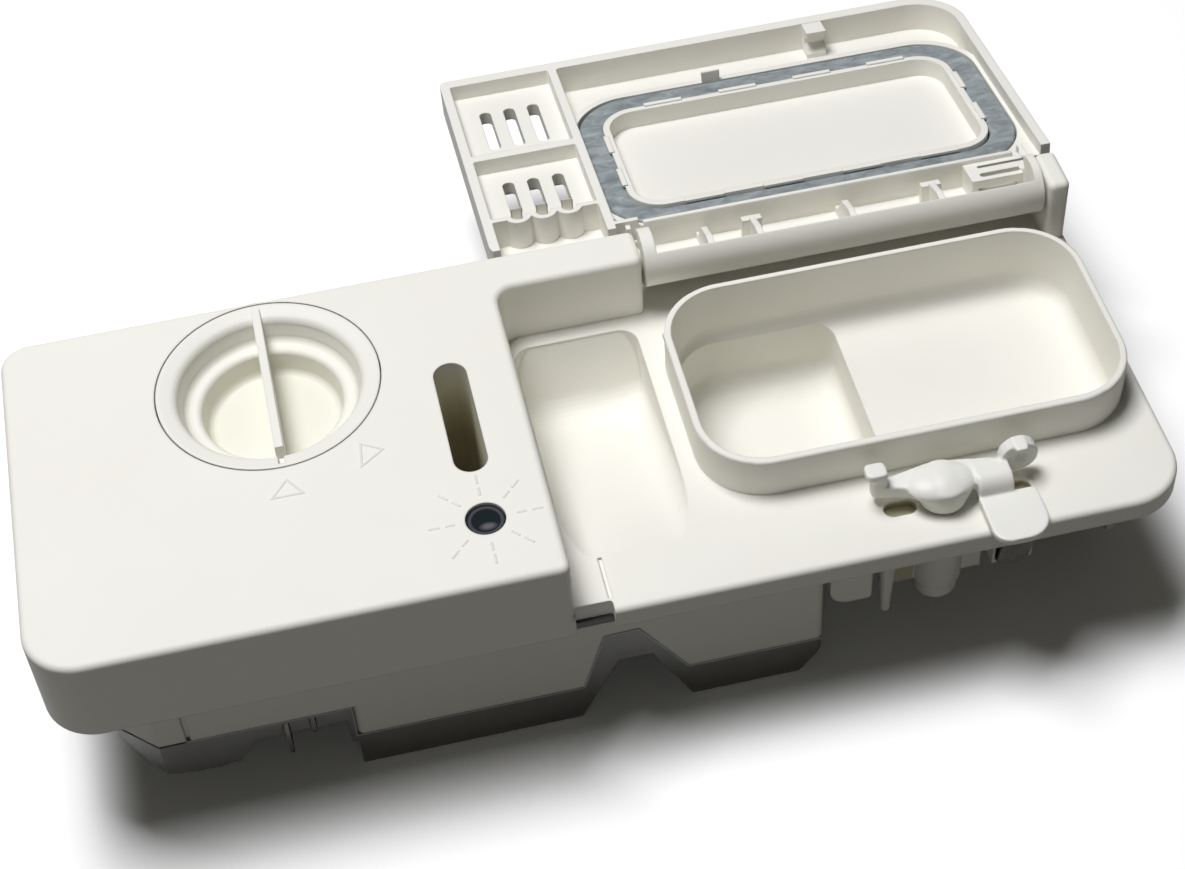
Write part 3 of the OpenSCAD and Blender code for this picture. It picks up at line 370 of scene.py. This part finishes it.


# Sight lens. A dark acrylic window pressed into the body; its cone reaches into the
# tank, and it looks dark while there is rinse aid. Polished, with a painted highlight:
# a pale ring and a pale patch low in the middle, painted for the light the cone turns back.
window, tree = new_material("dark window")
where = add(tree, "ShaderNodeTexCoord").outputs["Object"]
spot = vector_maths(tree, "SUBTRACT", where, at(WINDOW_X, WINDOW_Y, 0))
spot = vector_maths(tree, "MULTIPLY", spot, (1, 1, 0))
# Painted highlights: a pale ring round the middle and a pale patch below it, mixed into the colour.
off_ring = maths(tree, "SUBTRACT", vector_maths(tree, "LENGTH", spot), 3.2 * MM)
painted_highlight_ring = add(tree, "ShaderNodeMapRange",
                 {"Value": maths(tree, "ABSOLUTE", off_ring), "From Min": 0.1 * MM, "From Max": 0.45 * MM,
                  "To Min": 0.55, "To Max": 0.0})
off_patch = vector_maths(tree, "SUBTRACT", spot, (0.2 * MM, -1.5 * MM, 0))
off_patch = vector_maths(tree, "MULTIPLY", off_patch, (0.55, 1, 0))
painted_highlight_patch = add(tree, "ShaderNodeMapRange",
                 {"Value": vector_maths(tree, "LENGTH", off_patch), "From Min": 0.4 * MM,
                  "From Max": 1.1 * MM, "To Min": 1.0, "To Max": 0.0})
pale = maths(tree, "MAXIMUM", painted_highlight_ring.outputs["Result"], painted_highlight_patch.outputs["Result"])
window_with_painted_highlights = add(tree, "ShaderNodeMix",
            {"Factor": pale, "A": (0.012, 0.018, 0.021, 1), "B": (0.13, 0.125, 0.14, 1)},
            data_type="RGBA")
haze = add(tree, "ShaderNodeTexNoise", {"Scale": 900.0, "Detail": 2.0})
polish = add(tree, "ShaderNodeMapRange", {"Value": haze.outputs["Fac"], "To Min": 0.08, "To Max": 0.2})
glass = add(tree, "ShaderNodeBsdfPrincipled",
            {"Base Color": window_with_painted_highlights.outputs["Result"], "Roughness": polish.outputs["Result"], "IOR": 1.49})
add(tree, "ShaderNodeOutputMaterial", {"Surface": glass.outputs["BSDF"]})
dress("sight_lens", window)


# Door seal. A soft dark elastomer ring behind the rim, between the outer skirt and
# the box, pressed against the door panel when the front is clipped in.
rubber = moulded("dark rubber", (0.035, 0.036, 0.038), (0.055, 0.055, 0.057), 0.62, grain_scale=5000.0,
                 cloud_scale=120.0, spread=0.2, relief=0.00005)
dress("door_seal", rubber)


# Steel parts of the housing: the two bent clips that grip the door panel's edge, and
# the tinned spade blades of the level switch with their round catch holes.
metal_surface, given, result = shader_group(
    "worked metal",
    [("Bright", COLOUR, (0.6, 0.6, 0.6, 1)), ("Dull", COLOUR, (0.4, 0.4, 0.4, 1)), ("Streak", NUMBER, 400.0),
     ("Roughness", NUMBER, 0.3), ("Spread", NUMBER, 0.15)],
    [("Colour", COLOUR), ("Roughness", NUMBER), ("Height", NUMBER)])
where = add(metal_surface, "ShaderNodeTexCoord").outputs["Object"]
drawn = add(metal_surface, "ShaderNodeMapping", {"Vector": where, "Scale": (0.25, 1.0, 1.0)})
streaks = add(metal_surface, "ShaderNodeTexNoise",
              {"Vector": drawn.outputs["Vector"], "Scale": given["Streak"], "Detail": 4.0,
               "Roughness": 0.65})
blotch = add(metal_surface, "ShaderNodeTexNoise", {"Vector": where, "Scale": 140.0, "Detail": 3.0})
patch = add(metal_surface, "ShaderNodeMapRange",
            {"Value": blotch.outputs["Fac"], "From Min": 0.38, "From Max": 0.7})
sheen = add(metal_surface, "ShaderNodeMix",
            {"Factor": patch.outputs["Result"], "A": given["Bright"], "B": given["Dull"]}, data_type="RGBA")
rough = maths(metal_surface, "MULTIPLY_ADD", streaks.outputs["Fac"], given["Spread"], given["Roughness"])
metal_surface.links.new(sheen.outputs["Result"], result["Colour"])
metal_surface.links.new(rough, result["Roughness"])
metal_surface.links.new(streaks.outputs["Fac"], result["Height"])


def metal(name, bright, dull, roughness, streak=400.0, spread=0.15, relief=0.00001, edge=0.0001):
    """Bare or plated metal with drawn streaks and dull patches."""
    material, tree = new_material(name)
    surface = add(tree, "ShaderNodeGroup",
                  {"Bright": (*bright, 1), "Dull": (*dull, 1), "Streak": streak, "Roughness": roughness,
                   "Spread": spread}, node_tree=metal_surface)
    rounded = add(tree, "ShaderNodeBevel", {"Radius": edge}, samples=4)
    bump = add(tree, "ShaderNodeBump",
               {"Strength": 0.4, "Distance": relief, "Height": surface.outputs["Height"],
                "Normal": rounded.outputs["Normal"]})
    shader = add(tree, "ShaderNodeBsdfPrincipled",
                 {"Base Color": surface.outputs["Colour"], "Metallic": 1.0,
                  "Roughness": surface.outputs["Roughness"], "Normal": bump.outputs["Normal"]})
    add(tree, "ShaderNodeOutputMaterial", {"Surface": shader.outputs["BSDF"]})
    return material


spring_steel = metal("spring steel", (0.62, 0.62, 0.63), (0.46, 0.46, 0.47), 0.24, streak=900.0)
tinned = metal("tinned brass", (0.70, 0.69, 0.66), (0.55, 0.54, 0.51), 0.28, streak=700.0)
# Near-black steel: the clips are dark, and on the tinned spades the dark is painted shade, as they hang in
# shadow under the sump.
dark_steel_with_shade = metal("dark steel with painted shade", (0.11, 0.108, 0.10), (0.07, 0.068, 0.062), 0.42, streak=900.0)
dress("mounting_clips", dark_steel_with_shade)


def blade(bm, x0, x1, y0, y1, z_tip, z_root, hole):
    """A flat spade blade pointing down, with a bevelled tip and a round hole through x."""
    width = y1 - y0
    taper = width * 0.22
    shoulder = z_tip + taper * 1.4
    outline = [(y0, z_root), (y0, shoulder), (y0 + taper, z_tip),
               (y1 - taper, z_tip), (y1, shoulder), (y1, z_root)]
    middle = ((y0 + y1) / 2, z_tip + width * 0.62)
    steps = 24
    angles = [math.tau * k / steps for k in range(steps)]
    rim = [(middle[0] + hole * math.cos(angle), middle[1] + hole * math.sin(angle)) for angle in angles]

    def outer(angle):
        """Where a ray from the hole's middle meets the outline."""
        ray = Vector((math.cos(angle), math.sin(angle)))
        best = None
        for a, b in zip(outline, outline[1:] + outline[:1]):
            edge = Vector(b) - Vector(a)
            turn = ray.x * edge.y - ray.y * edge.x
            if abs(turn) < 1e-9:
                continue
            gap = Vector(a) - Vector(middle)
            far = (gap.x * edge.y - gap.y * edge.x) / turn
            along = (gap.x * ray.y - gap.y * ray.x) / turn
            if far > 0 and -1e-6 <= along <= 1 + 1e-6:
                best = far if best is None else min(best, far)
        return (middle[0] + ray.x * best, middle[1] + ray.y * best)

    border = [outer(angle) for angle in angles]
    layers = [[[bm.verts.new(at(x, y, z)) for y, z in loop] for loop in (rim, border)] for x in (x0, x1)]
    for k in range(steps):
        n = (k + 1) % steps
        for rim_loop, border_loop in layers:
            bm.faces.new((rim_loop[k], rim_loop[n], border_loop[n], border_loop[k]))
        for loop in (0, 1):
            bm.faces.new((layers[0][loop][k], layers[0][loop][n], layers[1][loop][n], layers[1][loop][k]))


blades = bmesh.new()
blade(blades, 43.7, 44.5, 4.8, 11.1, -28.0, -15.5, 0.85)
blade(blades, 49.1, 49.9, 4.8, 11.1, -22.6, -15.5, 0.85)
piece("level_switch_spades", made(blades, "level_switch_spades"), dark_steel_with_shade, "housing", "steel",
      "level_switch_blades")


# Level switch and float. The black switch body is clipped under the sump with its
# stem up through the floor; the foam float round the stem carries the magnet.
black = moulded("black plastic", (0.022, 0.022, 0.024), (0.032, 0.032, 0.034), 0.38, cloud_scale=90.0)
dress("level_switch", black)
foam = moulded("float foam", (0.72, 0.64, 0.50), (0.60, 0.52, 0.40), 0.85, grain_scale=1800.0,
               cloud_scale=700.0, spread=0.2, relief=0.00025, edge=0.0006)
dress("level_float", foam)


# Rinse aid cap and its seal. A quarter-turn ivory cap with a two-step finger recess
# and a grip rib; its lugs lock under the neck, on a flat rubber washer.
cap_ivory = moulded("cap plastic", (0.87, 0.862, 0.79), (0.857, 0.846, 0.77), 0.52, cloud_scale=45.0,
                    edge=0.0005, gloss=0.32)
# Painted shade: the cap's recess is darkened inside, so that its floor and walls read less bright.
paint_shade_in_well(cap_ivory, (30.0, 40.0, 0.0), (77.0, 85.0, 17.5), 6.0, (0.79, 0.78, 0.68))
dress("rinse_cap", cap_ivory)
dress("cap_seal", rubber)


# Lid. One ivory moulding with a hinge beam, snap trunnions, vent slots, the latch
# hook, and a channel for the soft ring. It stands open, swung back past the rim.
lid_ivory = moulded("lid plastic", (0.87, 0.86, 0.79), (0.857, 0.845, 0.77), 0.55, gloss=0.3)
dress("lid_shell", lid_ivory)

# Soft ring: a grey silicone extrusion laid in the lid's channel, swept here along
# the rounded rectangle that it follows. It is made over the cup, as on the closed lid,
# and then swung open about the hinge.
HINGE = at(0, 82.9, 15.5)
LID_OPEN = math.radians(-189)
OPEN = Matrix.Translation(HINGE) @ Matrix.Rotation(LID_OPEN, 4, "X") @ Matrix.Translation(-HINGE)

silicone, tree = new_material("grey silicone")
where = add(tree, "ShaderNodeTexCoord").outputs["Object"]
streaky = add(tree, "ShaderNodeMapping", {"Vector": where, "Scale": (0.5, 1.0, 1.0)})
mottle = add(tree, "ShaderNodeTexNoise",
             {"Vector": streaky.outputs["Vector"], "Scale": 420.0, "Detail": 5.0, "Roughness": 0.6,
              "Distortion": 0.8})
bloom = add(tree, "ShaderNodeValToRGB", {"Fac": mottle.outputs["Fac"]})
ramp = bloom.color_ramp
ramp.elements[0].position, ramp.elements[0].color = 0.32, (0.20, 0.225, 0.235, 1)
ramp.elements[1].position, ramp.elements[1].color = 0.72, (0.40, 0.445, 0.45, 1)
middle = ramp.elements.new(0.5)
middle.color = (0.285, 0.318, 0.325, 1)
wet = add(tree, "ShaderNodeMapRange", {"Value": mottle.outputs["Fac"], "From Min": 0.3, "From Max": 0.7,
                                       "To Min": 0.32, "To Max": 0.55})
ripple = add(tree, "ShaderNodeBump", {"Strength": 0.6, "Distance": 0.0002, "Height": mottle.outputs["Fac"]})
soft = add(tree, "ShaderNodeBsdfPrincipled",
           {"Base Color": bloom.outputs["Color"], "Roughness": wet.outputs["Result"], "IOR": 1.43,
            "Normal": ripple.outputs["Normal"]})
add(tree, "ShaderNodeOutputMaterial", {"Surface": soft.outputs["BSDF"]})

ring_tree, given = geometry_tree("soft ring", [
    ("Length", LENGTH, 0.0894), ("Breadth", LENGTH, 0.0472), ("Corner Radius", LENGTH, 0.0107),
    ("Width", LENGTH, 0.0058), ("Thickness", LENGTH, 0.0039), ("Inner Drop", LENGTH, 0.0013),
    ("Edge Radius", LENGTH, 0.0012), ("Centre", PLACE, (0, 0, 0))])
frame_path = add(ring_tree, "GeometryNodeCurvePrimitiveQuadrilateral",
                 {"Width": given["Length"], "Height": given["Breadth"]})
round_path = add(ring_tree, "GeometryNodeFilletCurve",
                 {"Curve": frame_path.outputs["Curve"], "Count": 14, "Radius": given["Corner Radius"]},
                 mode="POLY")
# The section is a rounded bar whose face drops away on one side.
edges = {}
for edge, measure, part in (("side", "Width", 0.5), ("other side", "Width", -0.5),
                            ("back", "Thickness", 0.5), ("front", "Thickness", -0.5)):
    edges[edge] = maths(ring_tree, "MULTIPLY", given[measure], part)
edges["low front"] = maths(ring_tree, "ADD", edges["front"], given["Inner Drop"])
section_corners = {}
for number, (x, y) in enumerate((("side", "front"), ("side", "back"), ("other side", "back"),
                                 ("other side", "low front")), start=1):
    section_corners["Point %d" % number] = add(
        ring_tree, "ShaderNodeCombineXYZ", {"X": edges[x], "Y": edges[y]}).outputs["Vector"]
ring_section = add(ring_tree, "GeometryNodeCurvePrimitiveQuadrilateral", section_corners, mode="POINTS")
round_section = add(ring_tree, "GeometryNodeFilletCurve",
                    {"Curve": ring_section.outputs["Curve"], "Count": 5, "Radius": given["Edge Radius"]},
                    mode="POLY")
swept = add(ring_tree, "GeometryNodeCurveToMesh",
            {"Curve": round_path.outputs["Curve"], "Profile Curve": round_section.outputs["Curve"]})
placed = add(ring_tree, "GeometryNodeTransform",
             {"Geometry": swept.outputs["Mesh"], "Translation": given["Centre"]})
close_tree(ring_tree, placed.outputs[0], silicone)
ring_mesh = grown(ring_tree, "lid_soft_ring", {
    "Length": 89.35 * MM, "Breadth": 47.15 * MM, "Corner Radius": 10.7 * MM, "Width": 5.85 * MM,
    "Thickness": 3.9 * MM, "Inner Drop": 1.3 * MM, "Edge Radius": 1.0 * MM,
    "Centre": at(180.6, 45.3, 17.12)})
ring_mesh.transform(OPEN)
piece("lid_soft_ring", ring_mesh, silicone, "lid", "grey_silicone", "lid_seal")

# Upper lip of the wall between the soft ring and the hinge channel.
lip = bmesh.new()
LIP_LOW, LIP_HIGH = at(138.9, 73.05, 12.4), at(222.4, 74.1, 19.3)
for vertex in bmesh.ops.create_cube(lip, size=1.0)["verts"]:
    vertex.co = Vector(low if c < 0 else high for c, low, high in zip(vertex.co, LIP_LOW, LIP_HIGH))
bmesh.ops.bevel(lip, geom=lip.edges[:], offset=0.25 * MM, segments=3, profile=0.5, affect="EDGES")
lip_mesh = made(lip, "seal_wall_lip")
lip_mesh.transform(OPEN)
piece("seal_wall_lip", lip_mesh, lid_ivory, "lid", "ivory")

# Torsion spring: hidden in the hinge block, it helps the lid to open.
spring_tree, given = geometry_tree("wire spring", [
    ("Radius", LENGTH, 0.003), ("Wire", LENGTH, 0.0004), ("Length", LENGTH, 0.01), ("Turns", LENGTH, 8.0)])
POINTS_PER_TURN = 24.0
steps = maths(spring_tree, "MULTIPLY", given["Turns"], POINTS_PER_TURN)
line = add(spring_tree, "GeometryNodeCurvePrimitiveLine")
dotted = add(spring_tree, "GeometryNodeResampleCurve",
             {"Curve": line.outputs["Curve"], "Count": steps}, mode="COUNT")
share = add(spring_tree, "GeometryNodeSplineParameter").outputs["Factor"]
angle = maths(spring_tree, "MULTIPLY", share, maths(spring_tree, "MULTIPLY", given["Turns"], math.tau))
across = maths(spring_tree, "MULTIPLY", maths(spring_tree, "COSINE", angle), given["Radius"])
upward = maths(spring_tree, "MULTIPLY", maths(spring_tree, "SINE", angle), given["Radius"])
climb = add(spring_tree, "ShaderNodeMapRange",
            {"Value": share, "From Min": 0.06, "From Max": 0.94, "To Min": 0.0, "To Max": given["Length"]})
coil_point = add(spring_tree, "ShaderNodeCombineXYZ",
                 {"X": across, "Y": upward, "Z": climb.outputs["Result"]})
coiled = add(spring_tree, "GeometryNodeSetPosition",
             {"Geometry": dotted.outputs["Curve"], "Position": coil_point.outputs["Vector"]})
wire_section = add(spring_tree, "GeometryNodeCurvePrimitiveCircle",
                   {"Resolution": 10, "Radius": given["Wire"]})
wire = add(spring_tree, "GeometryNodeCurveToMesh",
           {"Curve": coiled.outputs["Geometry"], "Profile Curve": wire_section.outputs["Curve"],
            "Fill Caps": True})
close_tree(spring_tree, wire.outputs["Mesh"], spring_steel)


def spring(name, node, foot, along_x, radius, wire, length, turns):
    """A wire spring that stands for the CAD node's plain helix."""
    mesh = grown(spring_tree, name, {"Radius": radius * MM, "Wire": wire * MM, "Length": length * MM,
                                     "Turns": float(turns)})
    turn = Matrix.Rotation(math.radians(90), 4, "Y") if along_x else Matrix.Identity(4)
    mesh.transform(Matrix.Translation(foot) @ turn)
    piece(name, mesh, spring_steel, "housing", "steel", node)


spring("lid_torsion_spring", "lid_spring", at(113.5, 82.9, 15.5), True, 1.95, 0.32, 14.0, 9)


# Latch. A white acetal lever that turns on its stem: the left post and the right
# paddle meet the lid, and the tab over the lower edge takes a finger.
white = moulded("white acetal", (0.87, 0.868, 0.81), (0.85, 0.846, 0.785), 0.42, cloud_scale=80.0,
                edge=0.0003, gloss=0.4)


def melted(node, name, voxel, rounds, swells):
    """A CAD node's shape with swells added and its edges flowed together, as a moulding's are."""
    bm = bmesh.new()
    bm.from_mesh(nodes[node].data)
    bmesh.ops.remove_doubles(bm, verts=bm.verts, dist=1e-6)
    for centre, radii in swells:
        for vertex in bmesh.ops.create_icosphere(bm, subdivisions=4, radius=1.0)["verts"]:
            vertex.co = at(*centre) + Vector(c * r * MM for c, r in zip(vertex.co, radii))
    mesh = bpy.data.meshes.new(name)
    bm.to_mesh(mesh)
    bm.free()
    seed = linked(name, mesh)
    remesh = seed.modifiers.new("voxels", "REMESH")
    remesh.mode = "VOXEL"
    remesh.voxel_size = voxel
    smooth = seed.modifiers.new("flow", "SMOOTH")
    smooth.factor = 0.5
    smooth.iterations = rounds
    bpy.context.view_layer.update()
    flowed = bpy.data.meshes.new_from_object(seed.evaluated_get(bpy.context.evaluated_depsgraph_get()))
    bpy.data.objects.remove(seed)
    flowed.name = name
    return flowed


# The hub swells softly into both arms.
HUB_SWELLS = [((180.4, 11.3, 9.9), (7.2, 5.0, 2.55)), ((188.6, 12.4, 9.1), (6.5, 3.3, 2.2)),
              ((173.0, 13.0, 9.0), (4.5, 1.7, 1.5))]
lever = melted("latch_lever", "latch_lever_body", 0.00026, 12, HUB_SWELLS)
# The round paddle has a small conical dimple in its front face.
EYE = at(197.1, 12.6, 11.0)
DIMPLE_RADIUS, DIMPLE_DEPTH, FACE_BAND = 1.7 * MM, 1.0 * MM, 0.7 * MM
for vertex in lever.vertices:
    here = vertex.co
    away = math.hypot(here.x - EYE.x, here.z - EYE.z)
    if abs(here.y - EYE.y) < FACE_BAND and away < DIMPLE_RADIUS:
        here.y += DIMPLE_DEPTH * (1 - away / DIMPLE_RADIUS)
piece("latch_lever_body", lever, white, "latch", "white", "latch_lever")
dress("latch_shaft_seal", rubber)
dress("cam_lever", white)
dress("shaft_clip", spring_steel)
spring("latch_return_spring", "latch_spring", at(180.8, 11.2, -17.0), False, 3.45, 0.4, 10.0, 8)


# Release coil. A zinc-plated bracket screwed under the tray carries a black bobbin
# wound with enamelled copper wire; two spade blades take the cable.
zinc = metal("zinc plate", (0.66, 0.67, 0.69), (0.52, 0.53, 0.55), 0.33, streak=260.0, spread=0.2)
copper = metal("enamelled copper", (0.38, 0.14, 0.05), (0.28, 0.10, 0.04), 0.28, streak=1200.0)
dress("coil_yoke", zinc)
dress("coil_bobbin", black)
dress("coil_winding", copper)

turns_tree, given = geometry_tree("wire turns", [
    ("Radius", LENGTH, 0.0092), ("Wire", LENGTH, 0.00015), ("Pitch", LENGTH, 0.0003), ("Turns", COUNT, 70),
    ("Start", PLACE, (0, 0, 0))])
loop = add(turns_tree, "GeometryNodeCurvePrimitiveCircle", {"Resolution": 48, "Radius": given["Radius"]})
strand = add(turns_tree, "GeometryNodeCurvePrimitiveCircle", {"Resolution": 6, "Radius": given["Wire"]})
one_turn = add(turns_tree, "GeometryNodeCurveToMesh",
               {"Curve": loop.outputs["Curve"], "Profile Curve": strand.outputs["Curve"]})
upright = add(turns_tree, "GeometryNodeTransform",
              {"Geometry": one_turn.outputs["Mesh"], "Rotation": (0, math.radians(90), 0)})
stride = add(turns_tree, "ShaderNodeCombineXYZ", {"X": given["Pitch"]})
row = add(turns_tree, "GeometryNodeMeshLine",
          {"Count": given["Turns"], "Start Location": given["Start"], "Offset": stride.outputs["Vector"]})
laid = add(turns_tree, "GeometryNodeInstanceOnPoints",
           {"Points": row.outputs["Mesh"], "Instance": upright.outputs["Geometry"]})
close_tree(turns_tree, laid.outputs["Instances"], copper)
winding = grown(turns_tree, "winding_turns", {
    "Radius": 9.25 * MM, "Wire": 0.16 * MM, "Pitch": 0.31 * MM, "Turns": 71,
    "Start": at(198.75, 29.2, -17.0)})
piece("winding_turns", winding, copper, "housing", "copper")

spades = bmesh.new()
for y in (24.2, 34.2):
    blade(spades, 197.45, 198.2, y - 1.4, y + 1.4, -33.0, -27.0, 0.55)
piece("coil_spades", made(spades, "coil_spades"), tinned, "housing", "steel", "coil_blades")

# Two pan-head screws hold the bracket; their threads cut into the housing's posts.
head = bmesh.new()
# Half a screw from the middle of its head to its tip, as radius and height.
PAN_HEAD = [(0.0, -8.2), (1.4, -8.19), (2.3, -8.0), (2.8, -7.6), (3.0, -7.1), (3.0, -6.6), (2.85, -6.34)]
SHANK = [(1.3, -6.34), (1.3, -6.2), (1.0, -6.1), (1.0, -2.3), (0.5, -2.0), (0.0, -2.0)]
SIDES = 32
lathe = []
for radius, height in PAN_HEAD + SHANK:
    if radius == 0:
        lathe.append([head.verts.new((0, 0, height * MM))])
    else:
        lathe.append([head.verts.new((radius * MM * math.cos(math.tau * k / SIDES),
                                      radius * MM * math.sin(math.tau * k / SIDES), height * MM))
                      for k in range(SIDES)])
for low, high in zip(lathe, lathe[1:]):
    for k in range(SIDES):
        n = (k + 1) % SIDES
        if len(low) == 1:
            head.faces.new((low[0], high[n], high[k]))
        elif len(high) == 1:
            head.faces.new((low[k], low[n], high[0]))
        else:
            head.faces.new((low[k], low[n], high[n], high[k]))
blank = linked("screw_blank", made(head, "screw_blank"))

# The cross recess narrows from its mouth to its floor.
CROSS_LENGTH, CROSS_WIDTH = 3.0, 0.75
CROSS_MOUTH, CROSS_FLOOR = -8.5, -7.0
cross = bmesh.new()
for turn in (0, 90):
    for corner in bmesh.ops.create_cube(cross, size=1.0)["verts"]:
        deep = corner.co.z > 0
        shorter, thinner = (0.45, 0.6) if deep else (1.0, 1.0)
        spot = Matrix.Rotation(math.radians(turn), 3, "Z") @ Vector(
            (corner.co.x * CROSS_LENGTH * shorter, corner.co.y * CROSS_WIDTH * thinner, 0))
        corner.co = Vector((spot.x * MM, spot.y * MM, (CROSS_FLOOR if deep else CROSS_MOUTH) * MM))
recess = linked("screw_cross", made(cross, "screw_cross"))
cut = blank.modifiers.new("recess", "BOOLEAN")
cut.object = recess
cut.use_self = True
bpy.context.view_layer.update()
driven = bpy.data.meshes.new_from_object(blank.evaluated_get(bpy.context.evaluated_depsgraph_get()))
bpy.data.objects.remove(recess)
bpy.data.objects.remove(blank)
shank = linked("screw_shank", driven)

screw_tree, given = geometry_tree("bracket screws", [
    ("Screw", "NodeSocketObject", None), ("Thread Radius", LENGTH, 0.0011), ("Pitch Turns", LENGTH, 6.0),
    ("Thread Height", LENGTH, 0.004), ("Screws", COUNT, 2), ("Spacing", PLACE, (0.014, 0, 0)),
    ("First", PLACE, (0, 0, 0)), ("Thread Start", PLACE, (0, 0, -0.0062))])
body = add(screw_tree, "GeometryNodeObjectInfo", {"Object": given["Screw"]})
thread_path = add(screw_tree, "GeometryNodeCurveSpiral",
                  {"Resolution": 20, "Rotations": given["Pitch Turns"], "Height": given["Thread Height"],
                   "Start Radius": given["Thread Radius"], "End Radius": given["Thread Radius"]})
thread_section = add(screw_tree, "GeometryNodeCurvePrimitiveCircle", {"Resolution": 4, "Radius": 0.00019})
thread = add(screw_tree, "GeometryNodeCurveToMesh",
             {"Curve": thread_path.outputs["Curve"], "Profile Curve": thread_section.outputs["Curve"],
              "Fill Caps": True})
raised = add(screw_tree, "GeometryNodeTransform",
             {"Geometry": thread.outputs["Mesh"], "Translation": given["Thread Start"]})
whole = add(screw_tree, "GeometryNodeJoinGeometry")
screw_tree.links.new(body.outputs["Geometry"], whole.inputs["Geometry"])
screw_tree.links.new(raised.outputs["Geometry"], whole.inputs["Geometry"])
posts = add(screw_tree, "GeometryNodeMeshLine",
            {"Count": given["Screws"], "Start Location": given["First"], "Offset": given["Spacing"]})
set_in = add(screw_tree, "GeometryNodeInstanceOnPoints",
             {"Points": posts.outputs["Mesh"], "Instance": whole.outputs["Geometry"]})
close_tree(screw_tree, set_in.outputs["Instances"], zinc)
screws = grown(screw_tree, "bracket_screws", {
    "Screw": shank, "Thread Radius": 1.05 * MM, "Pitch Turns": 5.0, "Thread Height": 3.6 * MM, "Screws": 2,
    "Spacing": (14 * MM, 0, 0), "First": at(203, 46, 0), "Thread Start": (0, 0, -6.1 * MM)})
bpy.data.objects.remove(shank)
piece("bracket_screws", screws, zinc, "housing", "steel", "yoke_screws")


# Plunger and dosing rod. The coil pulls the steel armature; its plastic link turns
# the cam lever on the latch stem, and the same lever pushes the dosing rod's spring.
dress("armature", zinc)
dress("armature_rod", white)
dress("dosing_rod", white)
dress("dosing_seal", rubber)
dress("outlet_valve", rubber)
spring("armature_return_spring", "armature_spring", at(190.9, 29.2, -17.0), True, 4.85, 0.36, 4.1, 4)
spring("dosing_return_spring", "dosing_spring", at(161.4, 29.2, -19.8), True, 2.95, 0.28, 2.7, 3)


# Table, light and camera. The part lies on its back on plain white paper under one
# large soft lamp, hung a little behind and to the left of it, with a dim fill lamp
# in front that lifts the upright faces.
sheet = bmesh.new()
bmesh.ops.create_grid(sheet, x_segments=8, y_segments=8, size=4.0)
for vertex in sheet.verts:
    vertex.co.z = cad_box[0].z
paper_mesh = made(sheet, "table")
table = linked("table", paper_mesh)


def seen_white(tree):
    """1 for the camera's own ray, its first reflections and its way through glass."""
    look = add(tree, "ShaderNodeLightPath").outputs
    near = maths(tree, "LESS_THAN", look["Ray Depth"], 1.5)
    mirrored = maths(tree, "MULTIPLY", look["Is Glossy Ray"], near)
    clear = maths(tree, "MAXIMUM", mirrored, look["Is Transmission Ray"])
    return maths(tree, "MAXIMUM", look["Is Camera Ray"], clear)


paper, tree = new_material("white paper")
tone = add(tree, "ShaderNodeMix",
           {"Factor": seen_white(tree), "A": (0.065, 0.064, 0.056, 1), "B": (1.2, 1.2, 1.18, 1)},
           data_type="RGBA")
matte = add(tree, "ShaderNodeBsdfDiffuse", {"Color": tone.outputs["Result"]})
add(tree, "ShaderNodeOutputMaterial", {"Surface": matte.outputs["BSDF"]})
paper_mesh.materials.append(paper)

world = bpy.data.worlds.new("studio")
bpy.context.scene.world = world
world.use_nodes = True
tree = world.node_tree
tree.nodes.clear()
air = add(tree, "ShaderNodeMix",
          {"Factor": seen_white(tree), "A": (0.038, 0.037, 0.031, 1), "B": (1, 1, 1, 1)}, data_type="RGBA")
glow = add(tree, "ShaderNodeBackground", {"Color": air.outputs["Result"], "Strength": 1.0})
add(tree, "ShaderNodeOutputWorld", {"Surface": glow.outputs["Background"]})


def soft_lamp(name, size, energy, colour, toward, distance):
    """A square area lamp that looks at the middle of the part, hung in a direction from it."""
    lamp = bpy.data.lights.new(name, "AREA")
    lamp.shape = "SQUARE"
    lamp.size = size
    lamp.energy = energy
    lamp.color = colour
    holder = linked(name, lamp)
    toward = Vector(toward).normalized()
    holder.location = PART_MIDDLE + toward * distance
    holder.rotation_euler = toward.to_track_quat("Z", "Y").to_euler()


PART_MIDDLE = Vector((0, 0.045, 0))
TO_THE_LEFT, TO_THE_BACK = math.tan(math.radians(11)), math.tan(math.radians(10.5))
soft_lamp("soft lamp", 0.46, 11.95, (1.0, 0.998, 1.035), (-TO_THE_LEFT, TO_THE_BACK, 1), 1.1)
soft_lamp("front fill", 0.5, 0.72, (1.0, 1.0, 1.0), (-0.1, -1.0, 0.2), 1.0)

# The camera's place and turn follow from the straight edges of the raised body and the tray.
camera = bpy.data.cameras.new("camera")
camera.sensor_fit = "HORIZONTAL"
camera.sensor_width = 36.0
camera.lens = 71.84
camera.clip_start = 0.01
camera_holder = linked("camera", camera)
RIGHT = Vector((0.97539, -0.21471, -0.05006))
UP = Vector((0.19396, 0.72780, 0.65779))
BACK = Vector((-0.10480, -0.65131, 0.75154))
STAND = (-0.049482, -0.273693, 0.372471)
camera_holder.matrix_world = Matrix.Translation(STAND) @ Matrix((RIGHT, UP, BACK)).transposed().to_4x4()
bpy.context.scene.camera = camera_holder
bpy.context.scene.view_settings.view_transform = "Standard"
